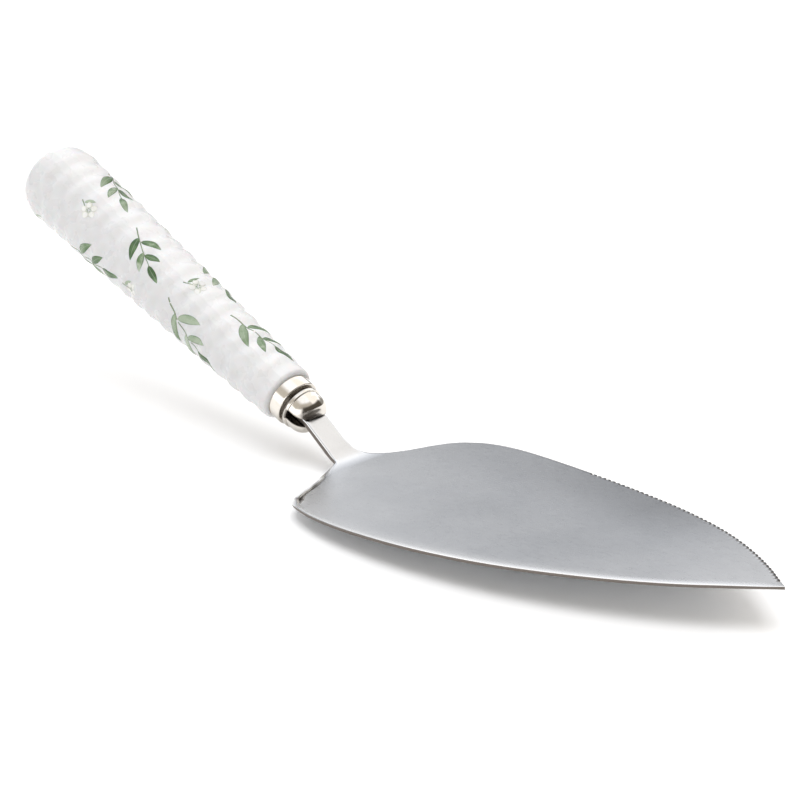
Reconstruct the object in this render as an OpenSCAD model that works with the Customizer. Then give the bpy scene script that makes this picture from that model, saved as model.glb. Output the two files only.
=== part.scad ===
// Cake server with a pointed leaf blade, a cranked neck, a plated ferrule and a hollow porcelain handle.
// Millimetres. The underside of the blade lies on z = 0, +X points to the tip and +Y to the toothed edge.
// The origin is on the underside, midway between the two shoulders.

/* [Blade] */
// Distance from the origin to the tip
blade_reach = 119.5; // [90:0.5:150]
// Distance from the origin back to where the neck leaves the heel
heel_back = 20; // [16:0.5:26]
// Width across the shoulders
blade_w = 69.6; // [50:0.2:90]
// Thickness of the blade
blade_t = 1; // [0.8:0.1:1.6]
// Radius in plan where the neck runs out into the heel on the toothed side
toothed_fillet_r = 8; // [2:0.5:14]
// Radius in plan where the neck runs out into the heel on the plain side
plain_fillet_r = 1.5; // [0.5:0.5:7]

/* [Teeth] */
// Number of teeth along the cutting edge
tooth_count = 49; // [20:1:60]
// Depth of the notch between two teeth
tooth_depth = 0.8; // [0.2:0.1:1]
// Distance from the tip, along the blade's length, to the first tooth
toothed_len = 82; // [50:1:95]
// Length of plain edge left between the last tooth and the tip
tip_plain = 2.9; // [2.5:0.1:6]

/* [Neck] */
// Width of the neck
neck_w = 7.2; // [6:0.1:9]
// Thickness of the neck and tang
neck_t = 1.8; // [1.4:0.1:2.2]
// Angle at which the neck climbs from the blade
neck_angle = 40; // [32:1:46]
// Distance behind the origin where the underside starts to turn up
bend_back = 14; // [12:0.5:18]
// Radius of the underside where the blade turns up into the neck
bend_r = 12.5; // [8:0.5:16]
// Length of the straight part of the neck
neck_run = 9.3; // [6:0.1:16]
// Radius of the underside where the neck turns into the line of the handle
crank_r = 5; // [3:0.5:8]

/* [Tang] */
// Width of the tang behind the neck's shoulders
tang_w = 5; // [4:0.1:5.8]
// Length of the tang inside the handle
tang_len = 46; // [30:1:56]

/* [Bolster cap] */
// Diameter of the dome
dome_d = 11.5; // [10.4:0.1:13]
// Length of the dome
dome_len = 5.4; // [4.8:0.1:7]
// How far the dome's round end runs back along its side
dome_round_len = 3.9; // [3:0.1:4.4]
// How far the dome's round end runs in towards the middle
dome_round_in = 3.5; // [2.5:0.1:4]
// How far the front of the dome stands past the neck's upper bend
dome_over = 0.9; // [0.4:0.1:1.2]
// Height of the slot that the neck stands in
slot_h = 2.4; // [2.2:0.1:3]
// Diameter of the raised ring behind the dome
ring_d = 12.3; // [11.6:0.1:13.4]
// Length of the raised ring
ring_len = 1.1; // [0.8:0.1:1.5]
// Radius of the ring's round edges
ring_round = 0.35; // [0.1:0.05:0.4]
// Diameter of the cap in the groove between ring and collar
groove_d = 10.2; // [9:0.1:11]
// Length of the groove
groove_len = 1; // [0.6:0.1:1.4]
// Diameter of the spigot that locates the cap in the collar
cap_spigot_d = 7.6; // [7:0.1:8.4]

/* [Collar] */
// Diameter of the collar
collar_d = 13.3; // [12:0.1:15]
// Length of the collar outside the handle
collar_len = 3.9; // [3:0.1:5]
// Size of the bevel round the collar's front edge
collar_bevel = 0.4; // [0.1:0.05:0.6]
// Thickness of the collar's front wall
collar_front_t = 1.2; // [0.8:0.1:1.6]
// Thickness of the collar's sleeve inside the handle
sleeve_t = 1.2; // [0.8:0.1:1.6]
// Length of the collar's sleeve inside the handle
sleeve_len = 4; // [3:0.5:8]
// Radial clearance between the sleeve and its seat in the handle
sleeve_gap = 0.1; // [0.05:0.05:0.3]

/* [Handle] */
// Angle at which the handle climbs from the table
handle_angle = 27; // [15:1:32]
// Length of the handle
handle_len = 111; // [90:0.2:140]
// Diameter of the handle at the ferrule, before its edge is rounded
handle_front_d = 15.7; // [15.4:0.1:19]
// Diameter of the handle at its thickest
handle_rear_d = 23.1; // [20:0.1:28]
// How far the middle of the handle swells past a straight taper
handle_swell = 0.3; // [0:0.1:1]
// Length of the round butt
butt_len = 9; // [7:0.5:22]
// Radius of the rounded edge at the mouth
mouth_round = 1.1; // [0.5:0.1:1.3]
// Number of thrown ripples along the handle
ripple_count = 19; // [8:1:24]
// Height of a ripple from trough to crest
ripple_h = 0.44; // [0.1:0.02:0.6]
// Diameter of the bore
bore_d = 9.4; // [8.4:0.1:9.8]
// Depth of the bore from the mouth
bore_len = 62; // [60:1:80]

/* [Hidden] */
$fn = 96;
// Run-out of a cut past the face it opens through
over = 1;

// Plan outline of the leaf's toothed side: length from the heel as a share of the blade's length, and
// distance from the centre line as a share of half the blade's width
toothed_shares = [
    [0.036, 0.311], [0.057, 0.463], [0.079, 0.687], [0.099, 0.823], [0.126, 0.915], [0.160, 0.972],
    [0.210, 0.999], [0.272, 0.990], [0.373, 0.946], [0.473, 0.886], [0.573, 0.812], [0.674, 0.716],
    [0.774, 0.582], [0.860, 0.412], [0.932, 0.222], [1.000, 0.000]
];
// The same of its plain side
plain_shares = [
    [0.027, 0.249], [0.053, 0.561], [0.063, 0.680], [0.078, 0.785], [0.102, 0.868], [0.152, 0.938],
    [0.210, 0.979], [0.280, 0.996], [0.373, 0.985], [0.473, 0.936], [0.573, 0.850], [0.674, 0.720],
    [0.774, 0.556], [0.860, 0.378], [0.932, 0.190], [1.000, 0.000]
];
// The notch behind a tooth, as shares of the pitch and of the depth: the tooth's land, a steep side, a floor
// and, back to the next tooth, a slanting side
notch_shares = [[0, 0], [0.44, 0], [0.54, 1], [0.74, 1]];
// Steps of the curve between two outline points, and of each bend
leaf_steps = 6;
bend_steps = 10;
fillet_steps = 10;
dome_steps = 12;
ripple_steps = 6;
butt_steps = 14;
mouth_steps = 6;
// How square the butt is: 2 is a plain ellipse
butt_power = 2;
// Share of the handle over which the ripples fade in at the mouth and out at the butt
ripple_fade_share = 0.05;

blade_len = blade_reach + heel_back;
half_w = blade_w / 2;

// A point of the smooth curve through points p, a share t of the way from point i to the next
function before(p, i) = i > 0 ? p[i - 1] : 2 * p[0] - p[1];
function after(p, i) = i < len(p) - 1 ? p[i + 1] : 2 * p[len(p) - 1] - p[len(p) - 2];
function curve_point(p, i, t) =
    let (a = before(p, i), b = p[i], c = after(p, i), d = after(p, i + 1))
    (2 * b + (c - a) * t + (2 * a - 5 * b + 4 * c - d) * t * t + (3 * b - a - 3 * c + d) * t * t * t) / 2;
function curve(p, steps) =
    concat([for (i = [0 : len(p) - 2], k = [0 : steps - 1]) curve_point(p, i, k / steps)], [p[len(p) - 1]]);

// The leaf's two sides from heel to tip, in millimetres, both drawn as if on +Y
function leaf_places(shares) = [for (s = shares) [s[0] * blade_len - heel_back, s[1] * half_w]];
toothed_places = leaf_places(toothed_shares);
plain_places = leaf_places(plain_shares);
toothed_side = curve(toothed_places, leaf_steps);
plain_side = curve(plain_places, leaf_steps);

// A fillet of radius r in plan: an arc that touches the neck's side and the heel's line through places p
function fillet(p, r) =
    let (
        dir = atan2(p[1][1] - p[0][1], p[1][0] - p[0][0]),
        corner_x = p[0][0] - (p[0][1] - neck_w / 2) / tan(dir),
        mid = [corner_x - r * tan(dir / 2), neck_w / 2 + r]
    )
    [for (k = [0 : fillet_steps]) let (a = dir * k / fillet_steps) mid + r * [sin(a), -cos(a)]];

// Length run along the toothed side, and the place at a given length
function run_to(p, i) = i == 0 ? 0 : run_to(p, i - 1) + norm(p[i] - p[i - 1]);
side_runs = [for (i = [0 : len(toothed_side) - 1]) run_to(toothed_side, i)];
run_x = [for (i = [0 : len(toothed_side) - 1]) [side_runs[i], toothed_side[i][0]]];
run_y = [for (i = [0 : len(toothed_side) - 1]) [side_runs[i], toothed_side[i][1]]];
x_run = [for (i = [0 : len(toothed_side) - 1]) [toothed_side[i][0], side_runs[i]]];
function side_at(run) = [lookup(run, run_x), lookup(run, run_y)];

// The toothed edge: the side up to the first tooth, then the points of each tooth and its notch
side_run = side_runs[len(side_runs) - 1];
first_run = lookup(blade_reach - toothed_len, x_run);
tooth_pitch = (side_run - first_run - tip_plain) / tooth_count;
function inward(run) =
    let (d = side_at(run + tooth_pitch / 4) - side_at(run - tooth_pitch / 4))
    [d[1], -d[0]] / norm(d);
before_teeth = [for (i = [0 : len(toothed_side) - 1]) if (side_runs[i] < first_run) toothed_side[i]];
teeth = [
    for (k = [0 : tooth_count - 1], s = notch_shares)
        let (run = first_run + (k + s[0]) * tooth_pitch)
        side_at(run) + s[1] * tooth_depth * inward(run)
];

// The underside's path from the heel to the neck's upper bend: each entry is a place and its climb
bend_start = [-bend_back, 0];
function path_dir(climb) = [-cos(climb), sin(climb)];
function path_up(climb) = [sin(climb), cos(climb)];
bend_mid = bend_start + bend_r * path_up(0);
bend_end = bend_mid - bend_r * path_up(neck_angle);
crank_start = bend_end + neck_run * path_dir(neck_angle);
crank_mid = crank_start - crank_r * path_up(neck_angle);
crank_end = crank_mid + crank_r * path_up(handle_angle);
ferrule_len = dome_len + ring_len + groove_len + collar_len;
// From the upper bend on, everything lies along the handle's axis; the rim is where the handle starts
rim = crank_end + path_up(handle_angle) * neck_t / 2 + path_dir(handle_angle) * (ferrule_len - dome_over);
slot_floor = ferrule_len - dome_len;
neck_end = crank_end + path_dir(handle_angle) * (dome_len - dome_over);

bend_path = [
    for (k = [0 : bend_steps])
        let (climb = neck_angle * k / bend_steps)
        [bend_mid - bend_r * path_up(climb), climb, blade_t + (neck_t - blade_t) * k / bend_steps]
];
crank_path = [
    for (k = [0 : bend_steps])
        let (climb = neck_angle + (handle_angle - neck_angle) * k / bend_steps)
        [crank_mid + crank_r * path_up(climb), climb, neck_t]
];
neck_path = concat(
    [[[blade_reach + over, 0], 0, blade_t]], bend_path, crank_path, [[neck_end, handle_angle, neck_t]]);
under_line = [for (s = neck_path) s[0]];
over_line = [
    for (i = [len(neck_path) - 1 : -1 : 0])
        let (s = neck_path[i])
        s[0] + s[2] * path_up(s[1])
];

// Puts a shape drawn about the Z axis on the handle's axis, with z = 0 at the rim and +Z to the butt
module on_handle() {
    translate([rim[0], 0, rim[1]])
        rotate([0, handle_angle - 90, 0])
            children();
}

module leaf_plan() {
    neck_x = neck_end[0] - neck_t - over;
    toothed_edge = concat(
        [[neck_x, neck_w / 2]], fillet(toothed_places, toothed_fillet_r),
        before_teeth, teeth, [side_at(side_run - tip_plain)]);
    plain_edge = concat([[neck_x, neck_w / 2]], fillet(plain_places, plain_fillet_r), plain_side);
    plain_back = [for (i = [len(plain_edge) - 1 : -1 : 0]) [plain_edge[i][0], -plain_edge[i][1]]];
    polygon(concat(toothed_edge, plain_back));
}

module side_profile() {
    translate([0, half_w + over, 0])
        rotate([90, 0, 0])
            linear_extrude(blade_w + 2 * over)
                polygon(concat(under_line, over_line));
}

module tang(reach) {
    translate([-neck_t / 2, -tang_w / 2, -slot_floor])
        cube([neck_t, tang_w, slot_floor + reach]);
}

module blade() {
    color([0.72, 0.73, 0.75]) {
        intersection() {
            translate([0, 0, -over])
                linear_extrude(neck_end[1] + neck_t + 2 * over)
                    leaf_plan();
            side_profile();
        }
        on_handle()
            tang(tang_len);
    }
}

module bolster_cap() {
    dome_r = dome_d / 2;
    ring_r = ring_d / 2;
    ring_front = -slot_floor;
    ring_rear = ring_front + ring_len;
    dome_curve = [
        for (k = [0 : dome_steps])
            let (a = 90 * k / dome_steps)
            [dome_r - dome_round_in * (1 - sin(a)), -ferrule_len + dome_round_len * (1 - cos(a))]
    ];
    color([0.80, 0.78, 0.73])
        on_handle()
            difference() {
                rotate_extrude()
                    polygon(concat(
                        [[0, -ferrule_len]],
                        dome_curve,
                        [
                            [dome_r, ring_front],
                            [ring_r - ring_round, ring_front],
                            [ring_r, ring_front + ring_round],
                            [ring_r, ring_rear - ring_round],
                            [ring_r - ring_round, ring_rear],
                            [groove_d / 2, ring_rear],
                            [groove_d / 2, -collar_len],
                            [cap_spigot_d / 2, -collar_len],
                            [cap_spigot_d / 2, collar_front_t - collar_len],
                            [0, collar_front_t - collar_len]
                        ]));
                translate([-slot_h / 2, -dome_r - over, -ferrule_len - over])
                    cube([slot_h, dome_d + 2 * over, dome_len + over]);
                tang(over);
            }
}

module collar() {
    collar_r = collar_d / 2;
    sleeve_r = bore_d / 2 + sleeve_t;
    color([0.82, 0.80, 0.76])
        on_handle()
            rotate_extrude()
                polygon([
                    [bore_d / 2, sleeve_len],
                    [bore_d / 2, collar_front_t - collar_len],
                    [cap_spigot_d / 2, collar_front_t - collar_len],
                    [cap_spigot_d / 2, -collar_len],
                    [collar_r - collar_bevel, -collar_len],
                    [collar_r, collar_bevel - collar_len],
                    [collar_r, 0],
                    [sleeve_r, 0],
                    [sleeve_r, sleeve_len]
                ]);
}

// Radius of the porcelain at a distance z from the mouth
function handle_r(z) =
    let (
        share = z / handle_len,
        taper = handle_front_d / 2 + (handle_rear_d - handle_front_d) / 2 * z / (handle_len - butt_len),
        fade = min(1, share / ripple_fade_share, (1 - share) / ripple_fade_share / 2),
        ripple = fade * ripple_h / 2 * sin(360 * ripple_count * share)
    )
    min(taper, handle_rear_d / 2) + handle_swell * sin(180 * share) + ripple;

module handle() {
    body_from = mouth_round;
    body_to = handle_len - butt_len;
    body_steps = ripple_count * ripple_steps;
    mouth_r = handle_r(body_from) - mouth_round;
    mouth = [
        for (k = [0 : mouth_steps - 1])
            let (a = 90 * k / mouth_steps)
            [mouth_r + mouth_round * sin(a), mouth_round * (1 - cos(a))]
    ];
    body = [
        for (k = [0 : body_steps])
            let (z = body_from + (body_to - body_from) * k / body_steps)
            [handle_r(z), z]
    ];
    butt = [
        for (k = [1 : butt_steps - 1])
            let (a = 90 * k / butt_steps, z = body_to + butt_len * sin(a))
            [handle_r(z) * pow(1 - pow(sin(a), butt_power), 1 / butt_power), z]
    ];
    seat_r = bore_d / 2 + sleeve_t + sleeve_gap;
    color([0.95, 0.95, 0.94])
        on_handle()
            rotate_extrude()
                polygon(concat(
                    [[seat_r, 0]],
                    mouth, body, butt,
                    [
                        [0, handle_len],
                        [0, bore_len],
                        [bore_d / 2, bore_len],
                        [bore_d / 2, sleeve_len],
                        [seat_r, sleeve_len]
                    ]));
}

module setting_cement() {
    cement_from = collar_front_t - collar_len;
    color([0.70, 0.68, 0.63])
        on_handle()
            difference() {
                translate([0, 0, cement_from])
                    cylinder(d = bore_d, h = bore_len - cement_from);
                tang(tang_len);
            }
}

handle();
setting_cement();
collar();
bolster_cap();
blade();
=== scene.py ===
"""A cake server with a thrown, printed porcelain handle, a plated ferrule and a toothed satin steel blade.

Lengths are in metres. +X runs to the tip, +Y to the toothed edge and +Z up. The blade lies flat on z = 0.
"""
import logging
import math
from collections.abc import Sequence
from dataclasses import dataclass, field
from enum import Enum
from typing import TypeVar, Union

import bmesh
import bpy
import numpy as np
from mathutils import Matrix, Vector


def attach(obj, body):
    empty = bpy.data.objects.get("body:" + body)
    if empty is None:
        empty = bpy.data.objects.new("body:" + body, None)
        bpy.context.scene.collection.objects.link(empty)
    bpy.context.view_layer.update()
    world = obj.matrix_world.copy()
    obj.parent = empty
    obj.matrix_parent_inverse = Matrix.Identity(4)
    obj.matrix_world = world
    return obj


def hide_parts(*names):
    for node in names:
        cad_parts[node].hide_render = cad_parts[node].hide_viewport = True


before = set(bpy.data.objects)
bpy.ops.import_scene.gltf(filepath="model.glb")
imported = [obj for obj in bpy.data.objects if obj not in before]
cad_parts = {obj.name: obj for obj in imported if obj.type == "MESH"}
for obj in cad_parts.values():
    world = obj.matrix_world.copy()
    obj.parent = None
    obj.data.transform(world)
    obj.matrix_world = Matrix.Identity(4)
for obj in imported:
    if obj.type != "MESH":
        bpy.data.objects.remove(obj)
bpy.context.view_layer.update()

Number = Union[float, int, "Value"]
Length = TypeVar("Length", float, np.ndarray)
Colour = tuple[float, float, float]
Corner = tuple[float, float]


def mm(length: Length) -> Length:
    """A length in millimetres, or an array of them, given back in metres."""
    return length / 1000


BODY = "root"
LOG = logging.getLogger("cake_server")
HANDLE_CLIMB = math.radians(27)
SAME_PLACE = mm(0.001)


def read_off(table: Sequence[tuple[float, float]], place: Length) -> Length:
    """What a table of places and values says, in straight lines between its rows and level beyond them."""
    places, values = zip(*table)
    return np.interp(place, places, values)


def eased(share: np.ndarray) -> np.ndarray:
    """A share from 0 to 1 with a soft start and end."""
    return share * share * (3 - 2 * share)


class Value:
    """A number that flows through a node tree, with Python's operators on it."""

    def __init__(self, tree: "Tree", socket: bpy.types.NodeSocket) -> None:
        """Keeps the tree and the socket that the number comes out of."""
        self.tree = tree
        self.socket = socket

    def math(self, operation: str, *others: Number) -> "Value":
        """The result of one Math node.

        Args:
            operation: the Math node's operation.
            others: the operands after this one.

        Returns:
            The node's output.
        """
        node = self.tree.add("ShaderNodeMath", operation=operation)
        for socket, value in zip(node.inputs, (self, *others)):
            self.tree.feed(socket, value)
        return Value(self.tree, node.outputs[0])

    def __add__(self, other: Number) -> "Value":
        """The sum."""
        return self.math("ADD", other)

    def __sub__(self, other: Number) -> "Value":
        """The difference."""
        return self.math("SUBTRACT", other)

    def __mul__(self, other: Number) -> "Value":
        """The product."""
        return self.math("MULTIPLY", other)

    def __truediv__(self, other: Number) -> "Value":
        """The quotient."""
        return self.math("DIVIDE", other)

    def __pow__(self, other: Number) -> "Value":
        """The power."""
        return self.math("POWER", other)

    def __rsub__(self, other: Number) -> "Value":
        """The difference, with this value taken away."""
        return self.math("MULTIPLY", -1.0).math("ADD", other)

    __radd__ = __add__
    __rmul__ = __mul__

    def smooth(self, low: Number, high: Number) -> "Value":
        """A soft step from 0 at low to 1 at high.

        Args:
            low: where the step starts.
            high: where it ends, which may be the smaller of the two.

        Returns:
            The step's height.
        """
        return self.span(low, high, 0.0, 1.0, "SMOOTHSTEP")

    def held(self) -> "Value":
        """This value, held between 0 and 1."""
        return self.math("MAXIMUM", 0.0).math("MINIMUM", 1.0)

    def span(self, low: Number, high: Number, first: Number, last: Number, kind: str = "LINEAR") -> "Value":
        """This value carried from one range to another, and held at its ends.

        Args:
            low: start of the range that the value comes from.
            high: end of that range.
            first: the result at low.
            last: the result at high.
            kind: the Map Range node's interpolation.

        Returns:
            The carried value.
        """
        node = self.tree.add("ShaderNodeMapRange", interpolation_type=kind)
        for socket, value in zip(node.inputs, (self, low, high, first, last)):
            self.tree.feed(socket, value)
        return Value(self.tree, node.outputs[0])


class Tree:
    """A node tree under construction, for a shader or for geometry."""

    def __init__(self, tree: bpy.types.NodeTree) -> None:
        """Keeps the tree."""
        self.tree = tree

    @classmethod
    def geometry(cls, name: str, inputs: dict[str, str], outputs: dict[str, str]) -> "Tree":
        """A new geometry tree with its sockets.

        Args:
            name: the tree's name.
            inputs: each input's name and socket type, such as Float.
            outputs: each output's name and socket type.

        Returns:
            The tree, with nothing between its sockets.
        """
        made = cls(bpy.data.node_groups.new(name, "GeometryNodeTree"))
        for label, kind in inputs.items():
            made.tree.interface.new_socket(label, in_out="INPUT", socket_type="NodeSocket" + kind)
        for label, kind in outputs.items():
            made.tree.interface.new_socket(label, in_out="OUTPUT", socket_type="NodeSocket" + kind)
        made.entry = made.add("NodeGroupInput")
        made.exit = made.add("NodeGroupOutput")
        return made

    def add(self, kind: str, **settings: object) -> bpy.types.Node:
        """A new node with its settings.

        Args:
            kind: the node's type.
            settings: values of the node's own properties.

        Returns:
            The node.
        """
        node = self.tree.nodes.new(kind)
        for name, value in settings.items():
            setattr(node, name, value)
        return node

    def feed(self, socket: bpy.types.NodeSocket, value: object) -> None:
        """Joins a value to a socket, or sets the socket if the value is a plain one.

        Args:
            socket: the input to feed.
            value: a Value, an output socket or a plain number, colour, object or text.
        """
        if isinstance(value, Value):
            self.tree.links.new(value.socket, socket)
        elif isinstance(value, bpy.types.NodeSocket):
            self.tree.links.new(value, socket)
        else:
            socket.default_value = value

    def call(self, kind: str, inputs: dict[str, object], output: str | int = 0, **settings: object) -> Value:
        """A new node with its inputs fed.

        Args:
            kind: the node's type.
            inputs: what feeds each named input.
            output: name or number of the output that is wanted.
            settings: values of the node's own properties.

        Returns:
            The wanted output.
        """
        node = self.add(kind, **settings)
        for name, value in inputs.items():
            self.feed(next(s for s in node.inputs if s.name == name and s.enabled), value)
        if isinstance(output, str):
            return Value(self, next(s for s in node.outputs if s.name == output and s.enabled))
        return Value(self, node.outputs[output])

    def given(self, name: str) -> Value:
        """What the tree's own input of that name holds."""
        return Value(self, self.entry.outputs[name])

    def give(self, **outputs: Value) -> None:
        """Feeds the tree's own outputs, named with _ for a space."""
        for name, value in outputs.items():
            self.feed(self.exit.inputs[name.replace("_", " ")], value)

    def parts(self, vector: Value) -> tuple[Value, Value, Value]:
        """The three numbers of a vector."""
        node = self.add("ShaderNodeSeparateXYZ")
        self.feed(node.inputs[0], vector)
        return tuple(Value(self, socket) for socket in node.outputs)

    def vector(self, x: Number, y: Number, z: Number) -> Value:
        """A vector of three numbers."""
        return self.call("ShaderNodeCombineXYZ", {"X": x, "Y": y, "Z": z})

    def noise(self, place: Value, size: float, detail: float = 2.0, roughness: float = 0.5) -> Value:
        """A smooth random number from 0 to 1, mostly near one half.

        Args:
            place: where it is read.
            size: how far apart its blobs lie.
            detail: how many finer layers it has.
            roughness: how strong the finer layers are.

        Returns:
            The number.
        """
        inputs = {"Vector": place, "Scale": 1 / size, "Detail": detail, "Roughness": roughness}
        return self.call("ShaderNodeTexNoise", inputs)

    def random(self, low: Number, high: Number, seed: Number) -> Value:
        """A random number for each point, which is the same on every run."""
        return self.call("FunctionNodeRandomValue", {"Min": low, "Max": high, "Seed": seed}, "Value")

    def stored(self, name: str, kind: str = "FLOAT") -> Value:
        """A number or a vector that the geometry carries on its points."""
        return self.call("GeometryNodeInputNamedAttribute", {"Name": name}, "Attribute", data_type=kind)

    def keep(self, geometry: Value, name: str, value: Value) -> Value:
        """The geometry with a number stored on its points."""
        inputs = {"Geometry": geometry, "Name": name, "Value": value}
        return self.call("GeometryNodeStoreNamedAttribute", inputs)

    def merged(self, geometry: Value) -> Value:
        """The geometry with the points that coincide joined."""
        return self.call("GeometryNodeMergeByDistance", {"Geometry": geometry, "Distance": SAME_PLACE})

    def give_dressed(self, geometry: Value, material: str) -> None:
        """Ends a geometry tree: its instances made real, in the material of one of its inputs.

        Args:
            geometry: what the tree has made.
            material: the name of the input.
        """
        real = self.call("GeometryNodeRealizeInstances", {"Geometry": geometry})
        worn = {"Geometry": real, "Material": self.given(material)}
        self.give(Geometry=self.call("GeometryNodeSetMaterial", worn))

    def blend(self, share: Number, first: object, second: object) -> Value:
        """A colour between two others.

        Args:
            share: 0 for the first colour and 1 for the second.
            first: a colour or the Value of one.
            second: a colour or the Value of one.

        Returns:
            The blended colour.
        """
        node = self.add("ShaderNodeMix", data_type="RGBA")
        sockets = {s.name: s for s in node.inputs if s.enabled}
        for name, value in (("Factor", share), ("A", first), ("B", second)):
            self.feed(sockets[name], (*value, 1.0) if isinstance(value, tuple) else value)
        return Value(self, next(s for s in node.outputs if s.enabled))


class Surface(Tree):
    """The node tree of one material, with its shader."""

    def __init__(self, name: str, **constants: float) -> None:
        """Makes the material.

        Args:
            name: the material's name.
            constants: the shader's settings that are the same all over, named with _ for a space.
        """
        self.material = bpy.data.materials.new(name)
        self.material.use_nodes = True
        super().__init__(self.material.node_tree)
        self.shader = next(n for n in self.tree.nodes if n.type == "BSDF_PRINCIPLED")
        for label, value in constants.items():
            self.shader.inputs[label.replace("_", " ")].default_value = value
        self.place = self.call("ShaderNodeTexCoord", {}, "Object")

    def set(self, name: str, value: object) -> None:
        """Feeds one of the shader's inputs."""
        self.feed(self.shader.inputs[name], value)

    def attribute(self, name: str) -> Value:
        """A number stored on the piece."""
        return self.call("ShaderNodeAttribute", {}, "Fac", attribute_name=name)

    def bump(self, height: Value, depth: float) -> None:
        """Gives the shader a fine relief.

        Args:
            height: the relief, from 0 to 1.
            depth: how deep it is, in metres.
        """
        node = self.add("ShaderNodeBump")
        self.feed(node.inputs["Height"], height)
        node.inputs["Distance"].default_value = depth
        self.feed(self.shader.inputs["Normal"], node.outputs[0])


def new_object(name: str, mesh: bpy.types.Mesh) -> bpy.types.Object:
    """An object in the scene that shows a mesh."""
    made = bpy.data.objects.new(name, mesh)
    bpy.context.scene.collection.objects.link(made)
    return made


def new_mesh(name: str, points: np.ndarray, faces: Sequence[Sequence[int]]) -> bpy.types.Mesh:
    """A mesh from points and faces.

    Args:
        name: the mesh's name.
        points: one row for each point.
        faces: the points of each face, by number.

    Returns:
        The mesh.
    """
    mesh = bpy.data.meshes.new(name)
    mesh.from_pydata([tuple(p) for p in points], [], [tuple(f) for f in faces])
    mesh.update()
    return mesh


def store(mesh: bpy.types.Mesh, name: str, values: np.ndarray) -> None:
    """Keeps a number or a vector on each point of a mesh.

    Args:
        mesh: the mesh.
        name: the attribute's name.
        values: one number or one row of three for each point.
    """
    vectors = np.ndim(values) == 2
    attribute = mesh.attributes.new(name, "FLOAT_VECTOR" if vectors else "FLOAT", "POINT")
    attribute.data.foreach_set("vector" if vectors else "value", np.asarray(values, np.float32).ravel())


def close_up(mesh: bpy.types.Mesh, reach: float = mm(0.002)) -> None:
    """Joins points that coincide, drops faces without area and turns the rest outwards.

    Args:
        mesh: the mesh.
        reach: how near to each other joined points lie.
    """
    shape = bmesh.new()
    shape.from_mesh(mesh)
    bmesh.ops.remove_doubles(shape, verts=shape.verts, dist=reach)
    bmesh.ops.dissolve_degenerate(shape, edges=shape.edges, dist=reach / 10)
    bmesh.ops.recalc_face_normals(shape, faces=shape.faces)
    shape.to_mesh(mesh)
    shape.free()


def settle(piece: bpy.types.Object) -> None:
    """Turns what the piece's modifiers make into its own plain mesh.

    Args:
        piece: the object, which keeps no modifier.
    """
    graph = bpy.context.evaluated_depsgraph_get()
    old = piece.data
    shown = piece.evaluated_get(graph)
    made = bpy.data.meshes.new_from_object(shown, preserve_all_data_layers=True, depsgraph=graph)
    piece.modifiers.clear()
    piece.data = made
    made.name = piece.name
    bpy.data.meshes.remove(old)


def grow(piece: bpy.types.Object, tree: Tree, values: dict[str, object]) -> None:
    """Runs a geometry tree on a piece and keeps the result as its plain mesh.

    Args:
        piece: the object that carries the modifier.
        tree: the geometry tree.
        values: what goes into each of the tree's named inputs.
    """
    modifier = piece.modifiers.new(tree.tree.name, "NODES")
    modifier.node_group = tree.tree
    for item in tree.tree.interface.items_tree:
        if item.in_out == "INPUT" and item.name in values:
            modifier[item.identifier] = values[item.name]
    settle(piece)


def hand_over(piece: bpy.types.Object, slot: str, *nodes: str) -> None:
    """Puts a finished piece on the body that it moves with and hides the nodes that it stands for.

    Args:
        piece: the finished object.
        slot: the name of a material slot; not used.
        nodes: the nodes that it replaces.
    """
    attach(piece, BODY)
    if nodes:
        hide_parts(*nodes)
    LOG.info("%s: %d faces", piece.name, len(piece.data.polygons))


@dataclass(frozen=True)
class HandleLine:
    """The line that the ferrule and the handle share, from 0 at the handle's rim towards the butt."""

    climb: float
    rim: Vector

    @classmethod
    def from_frame(cls, climb: float) -> "HandleLine":
        """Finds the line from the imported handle, which is round about it.

        Args:
            climb: the angle at which the handle climbs.

        Returns:
            The line.
        """
        along = np.array([-math.cos(climb), 0, math.sin(climb)])
        upward = np.array([math.sin(climb), 0, math.cos(climb)])
        points = np.array([v.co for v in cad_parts["handle"].data.vertices])
        heights = points @ upward
        middle = (heights.min() + heights.max()) / 2
        return cls(climb, Vector(along * (points @ along).min() + upward * middle))

    def matrix(self) -> Matrix:
        """Carries a shape drawn about the Z axis on to the line, with its X axis upwards."""
        return Matrix.Translation(self.rim) @ Matrix.Rotation(self.climb - math.pi / 2, 4, "Y")


@dataclass(frozen=True)
class PorcelainGlaze:
    """White porcelain under a clear glaze, with glaze pooling and painted shade in the rings' hollows."""

    body: Colour = (0.74, 0.74, 0.745)
    pooled_and_shaded: Colour = (0.58, 0.58, 0.585)
    roughness: float = 0.27
    pool_size: float = mm(9)
    smear_size: float = mm(4)
    dimple_size: float = mm(2.6)
    dimple_depth: float = mm(0.010)
    glow_depth: float = mm(1.5)

    def material(self) -> bpy.types.Material:
        """Makes the glaze.

        Returns:
            The material, which reads how deep in a hollow each place lies and darkens it there, with
            glaze pooling and painted shade.
        """
        look = Surface("porcelain_glaze", IOR=1.5, Specular_IOR_Level=0.5, Subsurface_Weight=0.12,
                       Subsurface_Scale=self.glow_depth)
        pooling = look.noise(look.place, self.pool_size, 3.0).smooth(0.42, 0.68) * 0.08
        # The rings' hollows darken towards the second colour: painted shade, with some glaze pooling.
        look.set("Base Color", look.blend(pooling + look.attribute("hollow") * 0.92, self.body, self.pooled_and_shaded))
        smear = look.noise(look.place, self.smear_size, 2.0)
        look.set("Roughness", smear.span(0.3, 0.7, self.roughness - 0.03, self.roughness + 0.05))
        look.bump(look.noise(look.place, self.dimple_size, 2.0, 0.5), self.dimple_depth)
        return look.material


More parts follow.
